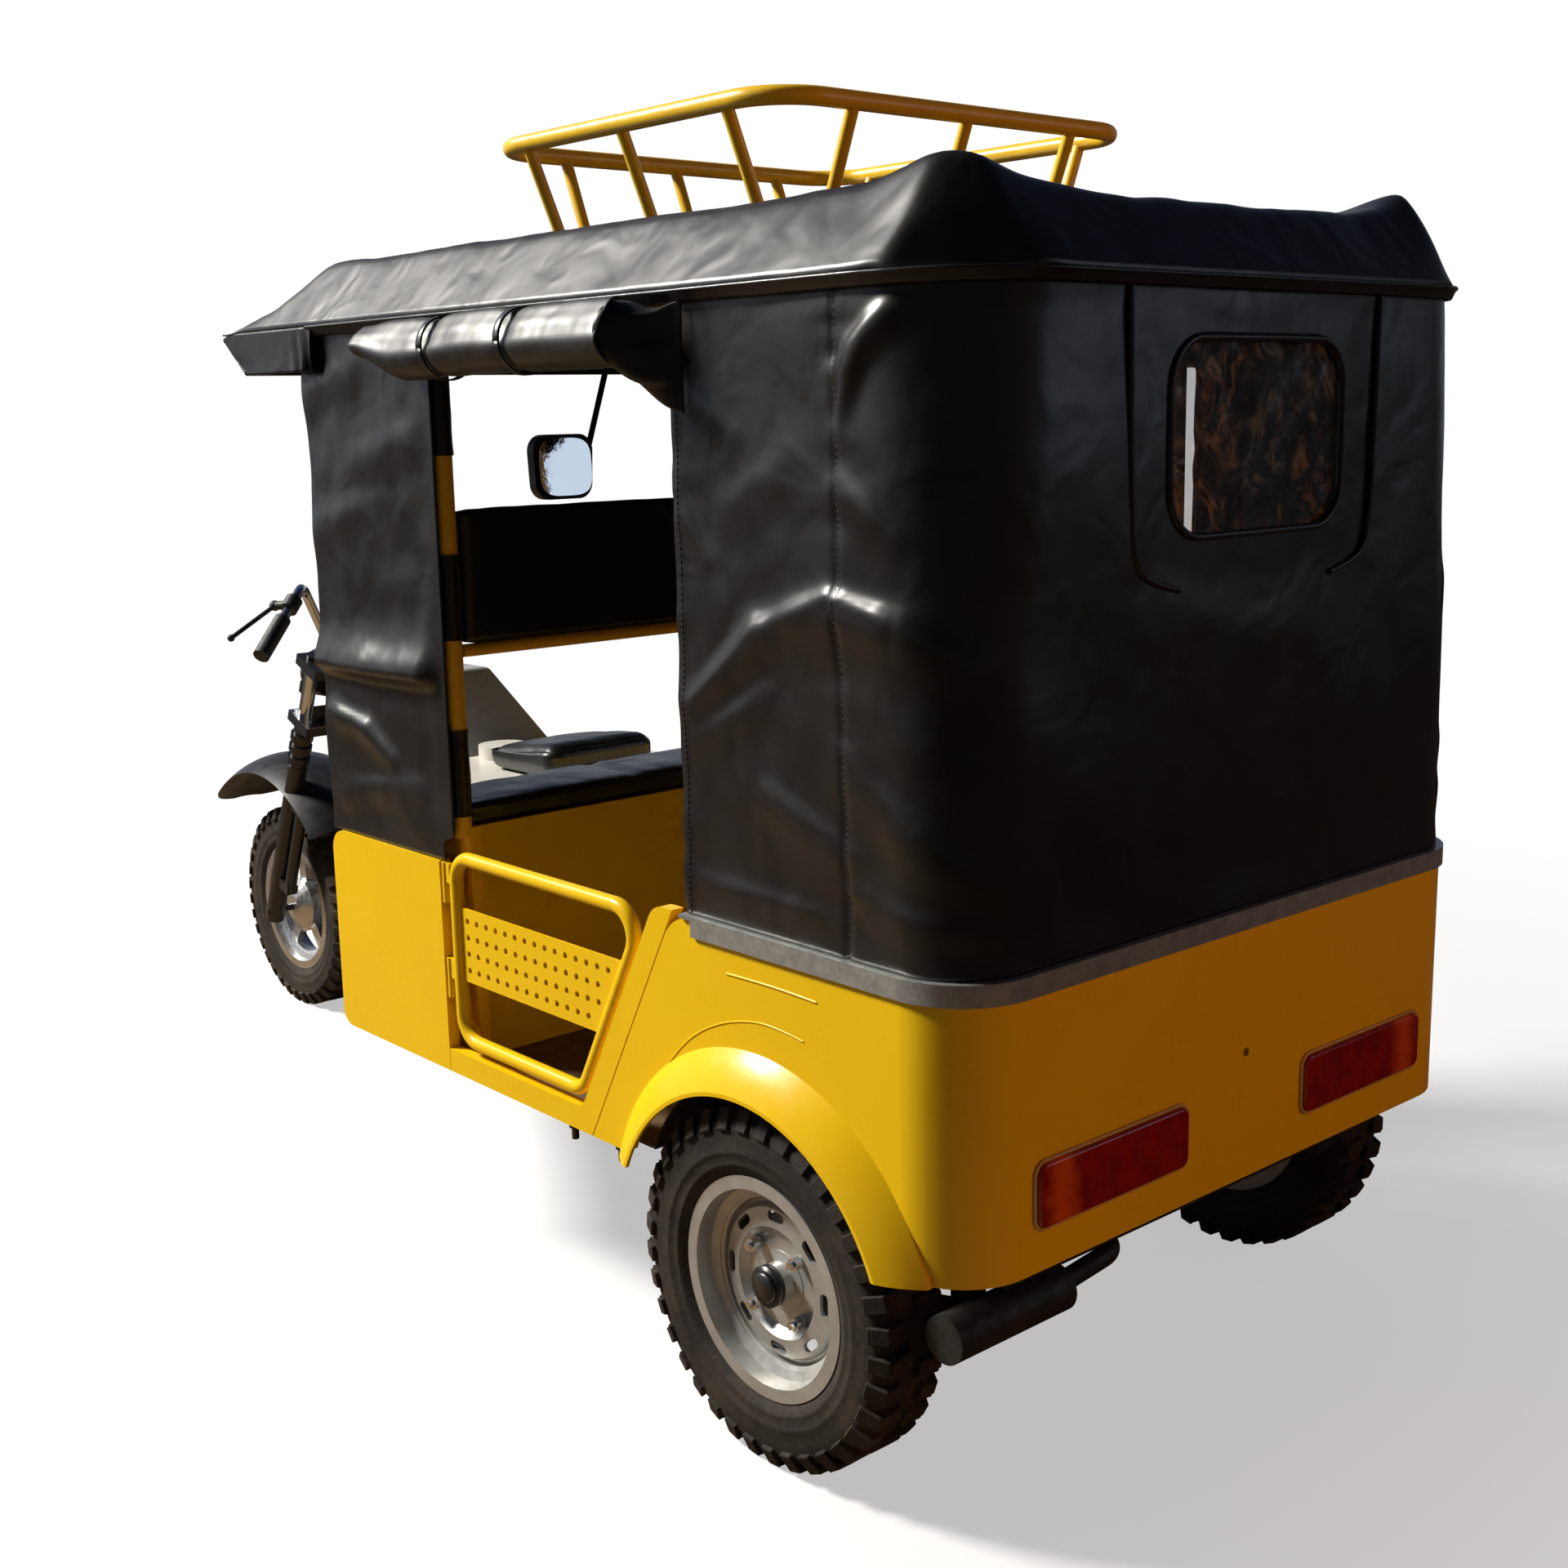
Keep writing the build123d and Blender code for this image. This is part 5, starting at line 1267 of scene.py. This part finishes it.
# %% Headlamp
lamp_low, lamp_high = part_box("headlamp")
LENS_AT = Vector((lamp_high.x, 0.0, (lamp_low.z + lamp_high.z) / 2))
LENS_R, LENS_RISE, LENS_RINGS, RIM_R, AHEAD = 0.054, 0.009, 6, 0.005, (1, 0, 0)
bm = bmesh.new()
shares = [k / LENS_RINGS for k in range(LENS_RINGS + 1)]
dome = [bm.verts.new(LENS_AT + Vector((LENS_RISE * (1 - t ** 2), 0.0, LENS_R * t))) for t in shares]
for pair in zip(dome, dome[1:]):
    bm.edges.new(pair)
spin_round(bm, LENS_AT, AHEAD, 48)
bmesh.ops.remove_doubles(bm, verts=bm.verts, dist=1e-6)
piece("headlamp_lens", bm, LENS, "steering")
bm = bmesh.new()
rim_at = LENS_AT + Vector((0.001, 0.0, LENS_R + 0.002))
edge_on = Matrix.Translation(rim_at) @ Matrix.Rotation(math.pi / 2, 4, "X")
bmesh.ops.create_circle(bm, segments=10, radius=RIM_R, matrix=edge_on)
spin_round(bm, LENS_AT, AHEAD, 48)
rim = piece("headlamp_rim", bm, CHROME, "steering")
print("headlamp dressed,", len(rim.data.polygons), "faces in its ring")

# %% [markdown]
# ## Camera
#
# The camera stands where the photograph was taken from: behind, to the left and
# a little below the roof. Its turn is built from yaw, pitch and roll.

# %% Camera
CAMERA_AT = at(-1937.548, 2218.937, 1503.63)
YAW, PITCH, ROLL, FOCAL_PX, FRAME_PX, SENSOR = -0.716, -0.194, -0.021, 2314.196, 1920, 36
forward = Vector((math.cos(PITCH) * math.cos(YAW), math.cos(PITCH) * math.sin(YAW), math.sin(PITCH)))
right = forward.cross(Vector((0, 0, 1))).normalized()
upward = right.cross(forward)
c, s = math.cos(ROLL), math.sin(ROLL)
right, upward = c * right + s * upward, -s * right + c * upward
camera = bpy.data.objects.new("camera", bpy.data.cameras.new("camera"))
camera.data.lens = SENSOR * FOCAL_PX / FRAME_PX
camera.data.sensor_width = SENSOR
turn = Matrix((right, upward, -forward)).transposed().to_4x4()
camera.matrix_world = Matrix.Translation(CAMERA_AT) @ turn
bpy.context.scene.collection.objects.link(camera)
bpy.context.scene.camera = camera
print("lens", round(camera.data.lens, 1), "mm")

# %% [markdown]
# ## Floor
#
# The camera sees white paper that keeps the shadow and fades to even white away
# from the object. Half of it is even white near the object too, which keeps the
# shadow pale. Light that bounces sees a brown yard instead, because white
# paper all round would fill every shadow.

# %% Floor
PAPER, PAPER_GLOW, NEAR, FAR, FLOOR_HALF = (0.86, 0.86, 0.86), 0.5, 1.6, 4.0, 30.0
YARD_NEAR, YARD_FAR = (0.24, 0.16, 0.09), (0.04, 0.035, 0.03)


def blend_shaders(tree, factor, first, second, end):
    """Mix two shaders by a factor into a tree's output."""
    mix = tree.nodes.new("ShaderNodeMixShader")
    for socket, value in zip(mix.inputs, (factor, first.outputs[0], second.outputs[0])):
        feed(tree, socket, value)
    feed(tree, tree.nodes[end].inputs["Surface"], mix.outputs[0])


def floor_material():
    mat, tree, shader, coords = new_material("floor", Roughness=0.9, Specular_IOR_Level=0.0)
    seen = tree.nodes.new("ShaderNodeLightPath").outputs["Is Camera Ray"]
    reach = tree.nodes.new("ShaderNodeVectorMath")
    reach.operation = "LENGTH"
    tree.links.new(coords, reach.inputs[0])
    yard = mix_colour(tree, remap(tree, reach.outputs["Value"], NEAR, FAR), YARD_NEAR, YARD_FAR)
    fill(tree, shader, Base_Color=mix_colour(tree, seen, yard, PAPER))
    even = tree.nodes.new("ShaderNodeEmission")
    glow = remap(tree, reach.outputs["Value"], NEAR, FAR, PAPER_GLOW, 1.0)
    blend_shaders(tree, math_node(tree, "MULTIPLY", seen, glow), shader, even, "Material Output")
    return mat


bm = bmesh.new()
bmesh.ops.create_grid(bm, x_segments=2, y_segments=2, size=FLOOR_HALF)
mesh = bpy.data.meshes.new("floor")
bm.to_mesh(mesh)
bm.free()
mesh.materials.append(floor_material())
floor = bpy.data.objects.new("floor", mesh)
bpy.context.scene.collection.objects.link(floor)
print("floor", [round(d) for d in floor.dimensions])

# %% [markdown]
# ## Light
#
# One large warm lamp stands for the sun, ahead of the vehicle and to its left, so
# the left side is bright and the back lies in shade. A pale blue card behind
# gives the shade its sheen, and a weak orange lamp stands for light thrown back
# by the ground; it is kept out of reflections, where it would show as a spot.

# %% Lamps
def area_light(name, place, target, size, power, colour):
    lamp = bpy.data.objects.new(name, bpy.data.lights.new(name, "AREA"))
    lamp.data.size = size
    lamp.data.energy = power
    lamp.data.color = colour
    lamp.location = place
    lamp.rotation_euler = (Vector(target) - Vector(place)).to_track_quat("-Z", "Y").to_euler()
    bpy.context.scene.collection.objects.link(lamp)
    return lamp


SUN_AT, SUN_WAY, SUN_FAR = Vector((0, 0, 0.9)), Vector((0.60, 0.47, 0.645)), 12.0
LAMPS = [  # name, place, target, size, power, colour
    ("sun", SUN_WAY * SUN_FAR + SUN_AT, SUN_AT, 2.4, 3050, (1.0, 0.97, 0.90)),
    ("sky_card", (-7.0, -5.1, 3.0), (-1.2, 0, 1.0), 3.2, 26, (0.72, 0.84, 1.0)),
    ("warm_fill", (-6.0, -1.0, 1.6), (-1.6, 0, 0.6), 2.0, 42, (1.0, 0.36, 0.08)),
]
lamps = {row[0]: area_light(*row) for row in LAMPS}
lamps["warm_fill"].visible_glossy = False
print("lamps:", ", ".join(lamps))

# %% [markdown]
# The world is a dim sky, brighter ahead near the horizon, and white where the
# camera looks straight at it. Only the camera sees that white, so it doesn't light
# the vehicle.

# %% Sky
HORIZON, ZENITH = (0.46, 0.50, 0.56), (0.05, 0.08, 0.16)
world = bpy.data.worlds.new("studio")
bpy.context.scene.world = world
world.use_nodes = True
tree = world.node_tree
ahead, _, rise = axes_of(tree, tree.nodes.new("ShaderNodeTexCoord").outputs["Generated"])
dim = tree.nodes["Background"]
fill(tree, dim, Color=mix_colour(tree, remap(tree, rise, 0.05, 0.55), HORIZON, ZENITH),
     Strength=remap(tree, ahead, -0.3, 0.8, 0.15, 1.0))
plain = tree.nodes.new("ShaderNodeBackground")
fill(tree, plain, Color=(1.0, 1.0, 1.0))
seen = tree.nodes.new("ShaderNodeLightPath").outputs["Is Camera Ray"]
blend_shaders(tree, seen, dim, plain, "World Output")
bpy.context.scene.view_settings.view_transform = "Standard"
print("sky", HORIZON, "to", ZENITH)
